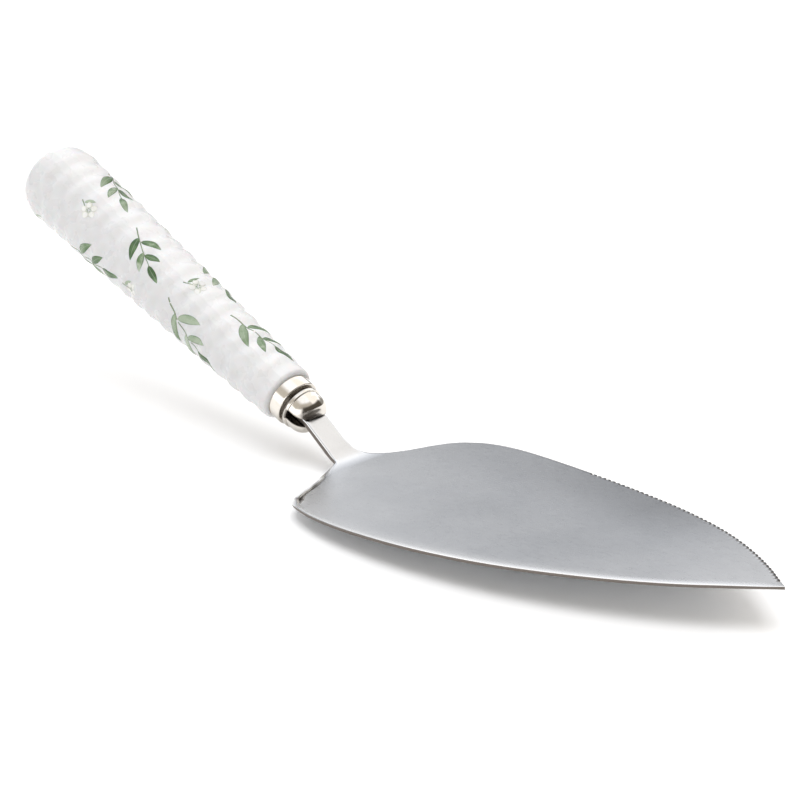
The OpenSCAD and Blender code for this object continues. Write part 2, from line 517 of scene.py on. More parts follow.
@dataclass(frozen=True)
class WatercolourPrint:
    """Green and cream watercolour fired into the glaze. Each leaf has its own tone and darkens at its rim."""

    deep: Colour = (0.04, 0.092, 0.03)
    middle: Colour = (0.12, 0.20, 0.092)
    pale: Colour = (0.38, 0.44, 0.34)
    cream: Colour = (0.58, 0.57, 0.42)
    stem: Colour = (0.17, 0.22, 0.13)
    ground: Colour = (0.74, 0.74, 0.745)
    wash_size: float = mm(1.9)
    fade_size: float = mm(15)
    fade_strength: float = 0.65

    def material(self) -> bpy.types.Material:
        """Makes the print's colours.

        Returns:
            The material, which reads the numbers stored on the print's own mesh.
        """
        look = Surface("watercolour_print", IOR=1.5, Specular_IOR_Level=0.5)
        along, tone, kind = look.attribute("along"), look.attribute("tone"), look.attribute("kind")
        across = look.attribute("across").math("ABSOLUTE")
        wash = look.noise(look.place, self.wash_size, 4.0, 0.6).smooth(0.34, 0.66)
        faded = look.noise(look.place, self.fade_size, 1.0).smooth(0.5, 0.6) * self.fade_strength
        strength = ((tone * 0.75 + wash * 0.45 - along * 0.25) * (1.0 - faded)).held()
        leaf = look.blend(strength.smooth(0.0, 0.55), self.pale, self.middle)
        leaf = look.blend(strength.smooth(0.45, 1.0), leaf, self.deep)
        leaf = look.blend(across.smooth(0.72, 1.0) * 0.45, leaf, self.deep)
        leaf = look.blend(across.smooth(0.16, 0.0) * 0.35, leaf, self.pale)
        petal = look.blend(across.smooth(0.55, 1.0) * 0.35 + wash * 0.3, self.ground, self.cream)
        petal = look.blend(along.smooth(0.35, 0.0) * 0.8, petal, self.middle)
        colour = look.blend(kind.smooth(0.4, 0.6), leaf, self.stem)
        look.set("Base Color", look.blend(kind.smooth(1.4, 1.6), colour, petal))
        look.set("Roughness", wash.span(0.0, 1.0, 0.25, 0.3))
        return look.material


@dataclass(frozen=True)
class NickelPlate:
    """Warm nickel plate, polished by hand so that reflections waver a little along the polishing marks."""

    name: str
    bright: Colour = (0.80, 0.76, 0.70)
    clouded: Colour = (0.66, 0.60, 0.51)
    # Painted near black where the plate is darkened: in the groove, and as painted shade by the slot and
    # under the cap and a painted dark reflection on the dome.
    darkened_and_shaded: Colour = (0.055, 0.042, 0.031)
    roughness: float = 0.06
    cloud_size: float = mm(3.2)
    smear_size: float = mm(0.9)
    waver_size: float = mm(1.1)
    waver_depth: float = mm(0.012)

    def material(self) -> bpy.types.Material:
        """Makes the plate.

        Returns:
            The material, which reads how dark and rough each place is made: darker in the groove, with
            painted shade by the slot and under the cap and a painted dark reflection on the dome.
        """
        look = Surface(self.name, Metallic=1.0)
        cloud = look.noise(look.place, self.cloud_size, 3.0).smooth(0.45, 0.75)
        tarnish = look.attribute("tarnish")
        plate = look.blend(cloud * 0.45, self.bright, self.clouded)
        # Darkens and roughens the plate: in the groove, and as painted shade and a painted dark reflection on
        # the cap.
        look.set("Base Color", look.blend(tarnish, plate, self.darkened_and_shaded))
        smear = look.noise(look.place, self.smear_size, 4.0, 0.65)
        rough = smear.span(0.3, 0.75, self.roughness - 0.02, self.roughness + 0.08)
        look.set("Roughness", rough + tarnish * 0.25)
        look.bump(look.noise(look.place, self.waver_size, 2.0, 0.4), self.waver_depth)
        return look.material


@dataclass(frozen=True)
class SatinSteel:
    """Stainless steel with a fine satin grain, polished on its rolled edges and dull on its cut walls.

    Its colour holds painted shade by the teeth and on their faces, a painted sheen at the tip, painted
    highlights on the rolled edge and the crescent, and painted dark reflections across the crescent.
    """

    colour: Colour = (0.68, 0.69, 0.705)
    clouded: Colour = (0.62, 0.632, 0.65)
    # Painted shade: the top is darker along the toothed side.
    fine: Colour = (0.44, 0.45, 0.465)
    # Painted sheen and highlights: brighter at the tip, on the rolled edge and on the crescent.
    worn: Colour = (0.92, 0.92, 0.92)
    wall: Colour = (0.17, 0.15, 0.135)
    # Painted near black: painted shade on the teeth's ground faces and painted dark reflections across the
    # crescent.
    ground: Colour = (0.06, 0.06, 0.065)
    satin: float = 0.30
    polish: float = 0.06
    wall_roughness: float = 0.42
    cloud_size: float = mm(22)
    grain_size: float = mm(0.16)
    grain_stretch: tuple[float, float, float] = (0.06, 1.0, 1.0)
    grain_depth: float = mm(0.0006)

    def material(self) -> bpy.types.Material:
        """Makes the steel.

        Returns:
            The material, which reads how polished each place is, its painted shade and sheen, how far
            it lies on the darker, rougher cut walls and where it is painted near black on the teeth and the
            crescent.
        """
        look = Surface("satin_steel", Metallic=1.0, Anisotropic=0.25)
        cloud = look.noise(look.place, self.cloud_size, 4.0, 0.55).smooth(0.38, 0.66)
        wall, shade = look.attribute("wall"), look.attribute("shade")
        steel = look.blend(cloud * 0.8, self.colour, self.clouded)
        # Painted shade where the number is positive, painted sheen and highlights where it is negative.
        steel = look.blend(shade.math("MAXIMUM", 0.0), steel, self.fine)
        steel = look.blend((shade * -1.0).math("MAXIMUM", 0.0), steel, self.worn)
        # Painted shade on the teeth and painted dark reflections across the crescent.
        steel = look.blend(look.attribute("ground"), steel, self.ground)
        look.set("Base Color", look.blend(wall, steel, self.wall))
        drawn = look.call("ShaderNodeMapping", {"Vector": look.place, "Scale": self.grain_stretch})
        grain = look.noise(drawn, self.grain_size, 2.0, 0.6)
        rough = grain.span(0.3, 0.7, self.satin - 0.04, self.satin + 0.06)
        rough = rough + (self.polish - rough) * look.attribute("polish")
        look.set("Roughness", rough + (self.wall_roughness - rough) * wall)
        look.bump(grain, self.grain_depth)
        return look.material


@dataclass(frozen=True)
class SettingCement:
    """Set cement, matt and a little gritty."""

    pale: Colour = (0.60, 0.57, 0.52)
    dark: Colour = (0.44, 0.41, 0.36)
    grit_size: float = mm(1.2)
    grit_depth: float = mm(0.15)

    def material(self) -> bpy.types.Material:
        """Makes the cement.

        Returns:
            The material.
        """
        look = Surface("setting_cement", Roughness=0.9)
        grit = look.noise(look.place, self.grit_size, 6.0, 0.7)
        look.set("Base Color", look.blend(grit.smooth(0.35, 0.65), self.dark, self.pale))
        look.bump(grit, self.grit_depth)
        return look.material

    def dress(self, node: bpy.types.Object) -> None:
        """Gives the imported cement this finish.

        Args:
            node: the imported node, whose mesh stays as it is.
        """
        node.data.materials.clear()
        node.data.materials.append(self.material())
        LOG.info("%s: dressed", node.name)


@dataclass
class ThrownHandle:
    """The hollow porcelain handle, thrown in rings that the potter's fingers left uneven."""

    line: HandleLine
    length: float = mm(111)
    front_radius: float = mm(7.85)
    rear_radius: float = mm(11.55)
    swell: float = mm(0.3)
    butt_length: float = mm(9)
    butt_power: float = 2.0
    mouth_round: float = mm(1.1)
    ring_count: float = 19.0
    ring_height: float = mm(0.54)
    ring_wander: float = 0.55
    ring_tilt: float = 0.22
    ring_fade_share: float = 0.05
    bore_radius: float = mm(4.7)
    bore_length: float = mm(62)
    seat_radius: float = mm(6.0)
    seat_length: float = mm(4)
    slow_size: float = mm(17)
    quick_size: float = mm(7)
    least_ring_share: float = 0.55
    rows: int = 486
    columns: int = 144
    rule: Tree = field(init=False)

    SIZES = ("length", "front_radius", "rear_radius", "swell", "butt_length", "butt_power", "mouth_round",
             "ring_count", "ring_height", "ring_wander", "ring_tilt", "ring_fade_share")
    # The rows from the middle of the bore's floor out to the rim. The rest run along the thrown side.
    INNER_ROWS = 5

    def __post_init__(self) -> None:
        """Writes the rule of the thrown surface once, for the porcelain and for the print on it."""
        self.rule = self.surface_rule()

    def sizes(self) -> dict[str, float]:
        """The sizes that the surface's rule takes, by the names of its inputs."""
        return {name.replace("_", " "): getattr(self, name) for name in self.SIZES}

    def surface_rule(self) -> Tree:
        """The rule of the thrown surface as a node group.

        Returns:
            A group that takes an angle, a distance from the rim and a lift. It gives the place on the surface
            about the Z axis, the radius without rings there and how deep in a hollow the place lies.
        """
        inputs = {name: "Float" for name in ("turn", "run", "lift", *self.sizes())}
        outputs = {"place": "Vector", "radius": "Float", "hollow": "Float"}
        tree = Tree.geometry("thrown_surface", inputs, outputs)
        turn, run = tree.given("turn"), tree.given("run")
        length, butt = tree.given("length"), tree.given("butt length")
        mouth, fade_share = tree.given("mouth round"), tree.given("ring fade share")
        share = run / length
        body = length - butt
        taper = (run / body).math("MINIMUM", 1.0)
        front, rear = tree.given("front radius"), tree.given("rear radius")
        plain = front + (rear - front) * taper + tree.given("swell") * (share * math.pi).math("SINE")

        cosine, sine = turn.math("COSINE"), turn.math("SINE")
        round_place = tree.vector(cosine * front, sine * front, run)
        slow = tree.noise(round_place, self.slow_size, 2.0)
        quick = tree.noise(round_place, self.quick_size, 1.0)
        phase = tree.given("ring count") * share + cosine * tree.given("ring tilt")
        phase = phase + (slow - 0.5) * tree.given("ring wander") * 2.0
        wave = (phase * (2 * math.pi)).math("SINE")
        fade = (share / fade_share).math("MINIMUM", (1.0 - share) / fade_share / 2.0).math("MINIMUM", 1.0)
        height = tree.given("ring height") / 2.0 * fade * quick.span(0.25, 0.75, self.least_ring_share, 1.0)
        ring = wave * height

        rounding = mouth * mouth - (mouth - run).math("MAXIMUM", 0.0) ** 2.0
        rounding = rounding.math("MAXIMUM", 0.0).math("SQRT") - mouth
        into_butt = ((run - body) / butt).held()
        power = tree.given("butt power")
        closing = (1.0 - into_butt ** power).math("MAXIMUM", 0.0) ** (power ** -1.0)
        radius = (plain + ring + rounding) * closing
        outer = radius + tree.given("lift")
        tree.give(place=tree.vector(outer * cosine, outer * sine, run), radius=plain * closing,
                  hollow=wave.span(0.1, -1.0, 0.0, 1.0) * fade)
        return tree

    def point(self, tree: Tree, turn: Value, run: Value, lift: Number) -> dict[str, Value]:
        """Adds the surface's rule to a tree.

        Args:
            tree: the tree that needs a place on the surface. It has the sizes among its own inputs.
            turn: the angle about the axis.
            run: the distance from the rim.
            lift: how far off the surface.

        Returns:
            The group's outputs by name.
        """
        node = tree.add("GeometryNodeGroup", node_tree=self.rule.tree)
        for name, value in {"turn": turn, "run": run, "lift": lift}.items():
            tree.feed(node.inputs[name], value)
        for name in self.sizes():
            tree.feed(node.inputs[name], tree.given(name))
        return {socket.name: Value(tree, socket) for socket in node.outputs}

    def shell_tree(self) -> Tree:
        """The rule that makes the whole shell: bore, seat, mouth, thrown side and butt.

        Returns:
            The tree.
        """
        inputs = {name: "Float" for name in ("bore radius", "bore length", "seat radius", "seat length")}
        inputs = inputs | {"rows": "Int", "columns": "Int", "glaze": "Material"}
        inputs = inputs | {name: "Float" for name in self.sizes()}
        tree = Tree.geometry("thrown_handle", inputs, {"Geometry": "Geometry"})
        rows = tree.given("rows")
        square = {"Size X": 1.0, "Size Y": 1.0, "Vertices X": tree.given("columns"), "Vertices Y": rows}
        grid = tree.call("GeometryNodeMeshGrid", square, "Mesh")
        x, y, _ = tree.parts(tree.call("GeometryNodeInputPosition", {}))
        turn = (x + 0.5) * (2 * math.pi)
        row = ((y + 0.5) * (rows - 1.0)).math("ROUND")
        passed = [row.math("GREATER_THAN", inner + 0.5) for inner in range(self.INNER_ROWS)]
        bore, seat = tree.given("bore radius"), tree.given("seat radius")
        bore_length, seat_length = tree.given("bore length"), tree.given("seat length")
        inner_radius = bore * passed[0] + (seat - bore) * passed[2]
        inner_run = bore_length - (bore_length - seat_length) * passed[1] - seat_length * passed[3]
        share = ((row - float(self.INNER_ROWS)) / (rows - (self.INNER_ROWS + 1.0))).math("MAXIMUM", 0.0)
        run = tree.given("length") * (1.0 - (share * math.pi).math("COSINE")) / 2.0
        outer = self.point(tree, turn, run, 0.0)
        inner = tree.vector(inner_radius * turn.math("COSINE"), inner_radius * turn.math("SINE"), inner_run)
        places = {"Factor": passed[4], "A": inner, "B": outer["place"]}
        place = tree.call("ShaderNodeMix", places, "Result", data_type="VECTOR")
        shaped = tree.call("GeometryNodeSetPosition", {"Geometry": grid, "Position": place})
        closed = tree.merged(tree.keep(shaped, "hollow", outer["hollow"] * passed[4]))
        tree.give_dressed(tree.call("GeometryNodeSetShadeSmooth", {"Geometry": closed}), "glaze")
        return tree

    def build(self, glaze: PorcelainGlaze) -> bpy.types.Object:
        """Throws the handle.

        Args:
            glaze: its finish.

        Returns:
            The finished piece.
        """
        piece = new_object("porcelain_handle", bpy.data.meshes.new("porcelain_handle"))
        own = {name.replace("_", " "): getattr(self, name) for name in
               ("bore_radius", "bore_length", "seat_radius", "seat_length", "rows", "columns")}
        grow(piece, self.shell_tree(), self.sizes() | own | {"glaze": glaze.material()})
        close_up(piece.data)
        piece.data.transform(self.line.matrix())
        hand_over(piece, "porcelain", "handle")
        return piece


class Mark(Enum):
    """What a part of a printed motif is, as its material reads it."""

    LEAF = 0.0
    STEM = 1.0
    PETAL = 2.0


class Motif:
    """A small flat drawing in leaves, stems and petals, with the numbers that its watercolour reads."""

    STEM_TAPER = 0.45
    LEAF_FULLNESS = 0.85
    LEAST_START = mm(0.02)

    def __init__(self, name: str) -> None:
        """Starts with an empty sheet."""
        self.name = name
        self.points: list[tuple[float, float, float]] = []
        self.faces: list[tuple[int, ...]] = []
        self.numbers: dict[str, list[float]] = {"along": [], "across": [], "tone": [], "kind": []}

    def stroke(self, start: tuple[float, float], heading: float, length: float, width: float, mark: Mark,
               tone: float, curl: float = 0.0, belly: float = 0.8, steps: int = 12, lanes: int = 4) -> None:
        """Draws one leaf, petal or stem as a strip that may curl.

        Args:
            start: where it starts.
            heading: its direction at the start, in degrees from +X.
            length: its length.
            width: its width where it is widest.
            mark: what it is.
            tone: how deep its colour is, from 0 to 1.
            curl: how far it turns along its length, in degrees.
            belly: less than 1 puts the widest place nearer the start.
            steps: strips along it.
            lanes: strips across it.
        """
        first = len(self.points)
        x, y = start
        for i in range(steps + 1):
            share = i / steps
            angle = math.radians(heading + curl * share)
            if mark is Mark.STEM:
                half = width / 2 * (1 - self.STEM_TAPER * share)
            else:
                half = width / 2 * math.sin(math.pi * share ** belly) ** self.LEAF_FULLNESS
                half += self.LEAST_START * (1 - share)
            for j in range(lanes + 1):
                across = 2 * j / lanes - 1
                out = half * across
                self.points.append((x - math.sin(angle) * out, y + math.cos(angle) * out, 0.0))
                for label, number in zip(self.numbers, (share, across, tone, mark.value)):
                    self.numbers[label].append(number)
            x += math.cos(angle) * length / steps
            y += math.sin(angle) * length / steps
        for i in range(steps):
            for j in range(lanes):
                corner = first + i * (lanes + 1) + j
                self.faces.append((corner, corner + lanes + 1, corner + lanes + 2, corner + 1))

    def object(self) -> bpy.types.Object:
        """The drawing as an object, with its numbers stored on its points.

        Returns:
            The object, which is removed when the print is made.
        """
        mesh = new_mesh(self.name, np.array(self.points), self.faces)
        for label, numbers in self.numbers.items():
            store(mesh, label, np.array(numbers))
        return new_object(self.name, mesh)


@dataclass
class TransferPrint:
    """A printed pattern of small sprigs and blossoms that winds round the handle in an open spiral."""

    handle: ThrownHandle
    sprig_count: int = 10
    first: float = mm(18)
    spacing: float = mm(8.4)
    turn_step: float = math.radians(137.5)
    sway: float = math.radians(28)
    lift: float = mm(0.025)
    thickness: float = mm(0.05)
    leaf_length: float = mm(8.2)
    leaf_width: float = mm(2.6)
    stem_width: float = mm(0.42)
    stalk_length: float = mm(4.2)
    stalk_width: float = mm(0.32)
    bract_start: Corner = (mm(-0.1), mm(-3.0))
    bract_length: float = mm(3.4)
    bract_width: float = mm(1.1)
    petal_count: int = 5
    petal_start: float = mm(0.25)
    petal_length: float = mm(2.2)
    petal_width: float = mm(1.75)
    seed: int = 7

    SIZE_RANGE = (0.86, 1.08)
    # The sprig's leaves. Each row has the leaf's start, across in mm and along as a share of a leaf, its
    # heading and curl in degrees, its length and width as shares of a leaf, and its tone.
    LEAVES = (
        (0.3, -0.45, 38, 26, 1.0, 1.0, 0.85),
        (0.2, -0.25, 150, -30, 0.92, 0.92, 0.55),
        (0.45, 0.30, 42, 24, 0.78, 0.85, 0.3),
        (0.4, 0.42, 142, -24, 0.74, 0.82, 0.75),
        (0.3, 0.92, 92, 8, 0.85, 0.85, 0.95),
    )

    def sprig(self) -> bpy.types.Object:
        """A sprig with two pairs of leaves and one at its end.

        Returns:
            The drawing.
        """
        drawing = Motif("sprig")
        long, wide = self.leaf_length, self.leaf_width
        drawing.stroke((0.0, -long), 84, long * 2, self.stem_width, Mark.STEM, 0.5, curl=12, steps=16,
                       lanes=2)
        for across, along, heading, curl, long_share, wide_share, tone in self.LEAVES:
            start = (mm(across), long * along)
            drawing.stroke(start, heading, long * long_share, wide * wide_share, Mark.LEAF, tone, curl=curl)
        return drawing.object()

    def blossom(self) -> bpy.types.Object:
        """A blossom on a short stalk with one narrow leaf.

        Returns:
            The drawing.
        """
        drawing = Motif("blossom")
        drawing.stroke((0.0, -self.stalk_length), 82, self.stalk_length, self.stalk_width, Mark.STEM, 0.4,
                       curl=12, steps=8, lanes=2)
        drawing.stroke(self.bract_start, 150, self.bract_length, self.bract_width, Mark.LEAF, 0.35, curl=-20,
                       steps=8)
        for k in range(self.petal_count):
            heading = 90 + 360 / self.petal_count * k
            turn = math.radians(heading)
            start = (self.petal_start * math.cos(turn), self.petal_start * math.sin(turn))
            drawing.stroke(start, heading, self.petal_length, self.petal_width, Mark.PETAL, 0.4, belly=1.25,
                           steps=8)
        return drawing.object()

    def tree(self) -> Tree:
        """The rule that lays the motifs out in a spiral and wraps them on the thrown surface.

        Returns:
            The tree.
        """
        sizes = ("first", "spacing", "turn step", "sway", "lift", "thickness", *self.handle.sizes())
        inputs = {"sprig": "Object", "blossom": "Object", "count": "Int", "seed": "Int"}
        inputs = inputs | {"colours": "Material"} | {name: "Float" for name in sizes}
        tree = Tree.geometry("transfer_print", inputs, {"Geometry": "Geometry"})
        joined = tree.add("GeometryNodeJoinGeometry")
        for motif, offset, seed_step in (("blossom", 0.5, 1), ("sprig", 0.0, 0)):
            tree.feed(joined.inputs[0], self.spiral(tree, motif, offset, seed_step))
        laid = tree.call("GeometryNodeRealizeInstances", {"Geometry": Value(tree, joined.outputs[0])})
        x, run, level = tree.parts(tree.call("GeometryNodeInputPosition", {}))
        middle = tree.stored("middle_turn")
        plain = self.handle.point(tree, middle, run, 0.0)["radius"]
        turn = middle + x / plain.math("MAXIMUM", mm(1))
        raised = {"Mesh": laid, "Offset": (0.0, 0.0, 1.0), "Offset Scale": 1.0, "Individual": False}
        both = tree.add("GeometryNodeJoinGeometry")
        tree.feed(both.inputs[0], tree.call("GeometryNodeExtrudeMesh", raised, "Mesh"))
        tree.feed(both.inputs[0], tree.call("GeometryNodeFlipFaces", {"Mesh": laid}))
        closed = tree.merged(Value(tree, both.outputs[0]))
        height = tree.given("lift") - tree.given("thickness") * (1.0 - level.math("GREATER_THAN", 0.5))
        place = self.handle.point(tree, turn, run, height)["place"]
        wrapped = tree.call("GeometryNodeSetPosition", {"Geometry": closed, "Position": place})
        tree.give_dressed(tree.call("GeometryNodeSetShadeSmooth", {"Geometry": wrapped}), "colours")
        return tree

    def spiral(self, tree: Tree, motif: str, offset: float, seed_step: int) -> Value:
        """Lays copies of one motif along the spiral, flat, each with the angle that it belongs to.

        Args:
            tree: the print's tree.
            motif: the name of the input that holds the drawing.
            offset: how far along the spiral its first copy lies, in steps.
            seed_step: what sets its random turns apart from the other motif's.

        Returns:
            The laid copies as instances.
        """
        line = tree.call("GeometryNodeMeshLine", {"Count": tree.given("count"), "Offset": (0.0, 0.0, 0.0)})
        index = tree.call("GeometryNodeInputIndex", {}) + offset
        turned = tree.keep(line, "middle_turn", index * tree.given("turn step"))
        place = tree.vector(0.0, tree.given("first") + index * tree.given("spacing"), 0.0)
        placed = tree.call("GeometryNodeSetPosition", {"Geometry": turned, "Position": place})
        drawing = tree.call("GeometryNodeObjectInfo", {"Object": tree.given(motif)}, "Geometry")
        most, seed = tree.given("sway"), tree.given("seed")
        sway = tree.random(most * -1.0, most, seed + float(seed_step))
        size = tree.random(*self.SIZE_RANGE, seed + 2.0)
        inputs = {"Points": placed, "Instance": drawing, "Rotation": tree.vector(0.0, 0.0, sway + math.pi),
                  "Scale": tree.vector(size, size, size)}
        return tree.call("GeometryNodeInstanceOnPoints", inputs)

    def build(self, colours: WatercolourPrint) -> bpy.types.Object:
        """Prints the pattern on the handle.

        Args:
            colours: the print's finish.

        Returns:
            The finished piece.
        """
        piece = new_object("handle_print", bpy.data.meshes.new("handle_print"))
        motifs = {"sprig": self.sprig(), "blossom": self.blossom()}
        own = {"first": self.first, "spacing": self.spacing, "turn step": self.turn_step, "sway": self.sway,
               "lift": self.lift, "thickness": self.thickness, "count": self.sprig_count, "seed": self.seed}
        grow(piece, self.tree(), self.handle.sizes() | own | motifs | {"colours": colours.material()})
        for motif in motifs.values():
            bpy.data.objects.remove(motif)
        piece.data.transform(self.handle.line.matrix())
        hand_over(piece, "porcelain")
        return piece


def softened(profile: Sequence[Corner], radius: float, steps: int = 5, most: float = 0.45) -> list[Corner]:
    """A profile with its inner corners rounded.

    Args:
        profile: the corners, as radius and distance along the axis.
        radius: how far each rounding reaches along the lines beside it, or less on a short line.
        steps: points on each rounding.
        most: the largest share of a line that one rounding takes.

    Returns:
        The profile's points.
    """
    corners = np.array(profile, float)
    out = [tuple(corners[0])]
    for before, corner, after in zip(corners, corners[1:], corners[2:]):
        to_before, to_after = before - corner, after - corner
        reach = min(radius, np.linalg.norm(to_before) * most, np.linalg.norm(to_after) * most)
        start = corner + to_before / np.linalg.norm(to_before) * reach
        end = corner + to_after / np.linalg.norm(to_after) * reach
        for k in range(steps + 1):
            t = k / steps
            out.append(tuple((1 - t) ** 2 * start + 2 * t * (1 - t) * corner + t ** 2 * end))
    return out + [tuple(corners[-1])]


def revolved(name: str, profile: Sequence[Corner], segments: int = 160, ring: bool = False) -> bpy.types.Mesh:
    """A round body about the Z axis.

    Args:
        name: the mesh's name.
        profile: its outline, as radius and distance along the axis.
        segments: sides of the round.
        ring: whether the outline closes on itself rather than at the axis.

    Returns:
        The closed mesh.
    """
    outline = np.array(profile)
    angles = np.arange(segments) * 2 * math.pi / segments
    points = np.stack([np.outer(outline[:, 0], np.cos(angles)), np.outer(outline[:, 0], np.sin(angles)),
                       np.repeat(outline[:, 1:], segments, axis=1)], axis=-1).reshape(-1, 3)
    rows = len(outline)
    faces = []
    for i in range(rows if ring else rows - 1):
        for j in range(segments):
            after = (j + 1) % segments
            lower, upper = i * segments, (i + 1) % rows * segments
            faces.append((lower + j, lower + after, upper + after, upper + j))
    mesh = new_mesh(name, points, faces)
    close_up(mesh)
    return mesh


@dataclass
class Ferrule:
    """The plated metal between blade and handle: a collar, and a domed bolster cap slotted for the neck."""

    line: HandleLine
    dome_radius: float = mm(5.75)
    dome_length: float = mm(5.4)
    dome_round_length: float = mm(3.9)
    dome_round_in: float = mm(3.5)
    slot_height: float = mm(2.4)
    ring_radius: float = mm(6.15)
    ring_length: float = mm(1.1)
    groove_radius: float = mm(5.1)
    groove_length: float = mm(1.0)
    spigot_radius: float = mm(3.8)
    collar_radius: float = mm(6.65)
    collar_length: float = mm(3.9)
    collar_wall: float = mm(1.2)
    bore_radius: float = mm(4.7)
    sleeve_radius: float = mm(5.9)
    sleeve_length: float = mm(4)
    tang_width: float = mm(5)
    tang_thickness: float = mm(1.8)
    edge: float = mm(0.28)
    collar_edge: float = mm(0.448)
    slot_edge: float = mm(0.4)
    overcut: float = mm(1)
    bevel_angle: float = math.radians(38)
    bevel_segments: int = 3
    sharp_angle: float = math.radians(34)
    cap_sides: int = 192
    dome_steps: int = 28
    # How dark the groove grows, how strong the painted shade along the slot is, and how strong and how high
    # the painted dark reflection on the dome is.
    groove_darkening: float = 0.76
    slot_shade: float = 0.84
    reflection_foot: float = 1.25
    reflection_height: float = mm(3.0)

    # How dark the cap is made. Each pair is a place in mm and what holds there: across the cap and ahead of
    # the slot's floor for the painted dark reflection on the dome, and below the cap's middle for the
    # painted shade underneath.
    DARK_REFLECTION_ACROSS = ((-5.2, 0.0), (-4.2, 0.85), (-0.6, 0.85), (1.4, 0.1))
    DARK_REFLECTION_FRONT = ((2.0, 0.0), (3.2, 1.0))
    UNDERSIDE_SHADE = ((0.8, 0.0), (4.0, 0.36))

    def slot_floor(self) -> float:
        """How far the slot's floor stands in front of the rim."""
        return self.ring_length + self.groove_length + self.collar_length

    def collar(self, plate: NickelPlate) -> bpy.types.Object:
        """Makes the collar.

        Args:
            plate: its finish.

        Returns:
            The finished piece.
        """
        wall = self.collar_wall - self.collar_length
        corners = [(self.spigot_radius, -self.collar_length), (self.collar_radius, -self.collar_length),
                   (self.collar_radius, 0.0)]
        profile = softened(corners, self.collar_edge)
        profile += [(self.sleeve_radius, 0.0), (self.sleeve_radius, self.sleeve_length),
                    (self.bore_radius, self.sleeve_length), (self.bore_radius, wall),
                    (self.spigot_radius, wall)]
        piece = new_object("ferrule_collar", revolved("ferrule_collar", profile, ring=True))
        self.finish(piece, plate, "plated_collar", "collar")
        return piece

    def cap_profile(self) -> list[Corner]:
        """The bolster cap's outline.

        Returns:
            Its points from the middle of the dome to the middle of the spigot, as radius and axial place.
        """
        front = -self.slot_floor() - self.dome_length
        dome = [(0.0, front)]
        for k in range(self.dome_steps + 1):
            angle = math.pi / 2 * k / self.dome_steps
            dome.append((self.dome_radius - self.dome_round_in * (1 - math.sin(angle)),
                         front + self.dome_round_length * (1 - math.cos(angle))))
        ring_front, ring_rear = -self.slot_floor(), self.ring_length - self.slot_floor()
        wall = self.collar_wall - self.collar_length
        rest = softened([dome[-1], (self.dome_radius, ring_front), (self.ring_radius, ring_front),
                         (self.ring_radius, ring_rear), (self.groove_radius, ring_rear),
                         (self.groove_radius, -self.collar_length)], self.edge)
        spigot = [(self.spigot_radius, -self.collar_length), (self.spigot_radius, wall), (0.0, wall)]
        return dome + rest[1:] + spigot

    def cutter(self, width: float, height: float, start: float, end: float) -> bpy.types.Object:
        """A box that cuts the slot or the tang's hole.

        Args:
            width: its size across.
            height: its size upwards.
            start: where it starts along the axis.
            end: where it ends.

        Returns:
            The box as an object, which is removed after its cut.
        """
        shape = bmesh.new()
        bmesh.ops.create_cube(shape, size=1.0)
        bmesh.ops.scale(shape, vec=(height, width, end - start), verts=shape.verts)
        bmesh.ops.translate(shape, vec=(0.0, 0.0, (start + end) / 2), verts=shape.verts)
        mesh = bpy.data.meshes.new("cutter")
        shape.to_mesh(mesh)
        shape.free()
        return new_object("cutter", mesh)

    def cap(self, plate: NickelPlate) -> bpy.types.Object:
        """Makes the bolster cap, with its slot and the hole for the tang.

        Args:
            plate: its finish.

        Returns:
            The finished piece.
        """
        piece = new_object("ferrule_cap", revolved("ferrule_cap", self.cap_profile(), self.cap_sides))
        over, floor = self.overcut, -self.slot_floor()
        slot_start = floor - self.dome_length - over
        cutters = [self.cutter((self.dome_radius + over) * 2, self.slot_height, slot_start, floor),
                   self.cutter(self.tang_width, self.tang_thickness, floor - over, over)]
        for cutter in cutters:
            cut = piece.modifiers.new("cut", "BOOLEAN")
            cut.object = cutter
            cut.operation = "DIFFERENCE"
            cut.solver = "EXACT"
        bevel = piece.modifiers.new("slot_edges", "BEVEL")
        bevel.limit_method = "ANGLE"
        bevel.angle_limit = self.bevel_angle
        bevel.width = self.slot_edge
        bevel.segments = self.bevel_segments
        bevel.harden_normals = False
        settle(piece)
        for cutter in cutters:
            bpy.data.objects.remove(cutter)
        self.finish(piece, plate, "plated_cap", "bolster_cap")
        return piece

    def tarnish(self, points: np.ndarray) -> np.ndarray:
        """How dark each place is made: darker deeper in the groove, with painted shade by the slot
        and under the cap and a painted dark reflection on the dome's front.

        Args:
            points: places on the ferrule, drawn about the Z axis with X upwards.

        Returns:
            A number from 0 to 1 for each place.
        """
        height, run = np.abs(points[:, 0]), points[:, 2]
        ring_rear = self.ring_length - self.slot_floor()
        groove = (run > ring_rear - self.edge) & (run < self.edge - self.collar_length)
        depth = self.collar_radius - np.hypot(points[:, 0], points[:, 1])
        depth = np.clip(self.groove_darkening * depth / (self.collar_radius - self.groove_radius), 0, 1)
        above = height - self.slot_height / 2
        in_slot = run < self.edge - self.slot_floor()
        # Painted shade on the slot's faces and their rounded edges.
        slot = self.slot_shade * np.clip(1 - above / self.slot_edge, 0, 1) * in_slot
        # A painted dark reflection on the dome's upper half, strongest just above the slot and towards its
        # front.
        dark_reflection = np.clip(self.reflection_foot - above / self.reflection_height, 0, 1) * (points[:, 0] > 0)
        dark_reflection = dark_reflection * read_off(self.DARK_REFLECTION_ACROSS, points[:, 1] / mm(1))
        dark_reflection = dark_reflection * read_off(self.DARK_REFLECTION_FRONT, (-run - self.slot_floor()) / mm(1))
        # Painted shade under the cap's middle, growing towards the bottom.
        underside_shade = read_off(self.UNDERSIDE_SHADE, -points[:, 0] / mm(1))
        return np.max([groove * depth, slot, dark_reflection, underside_shade], axis=0)

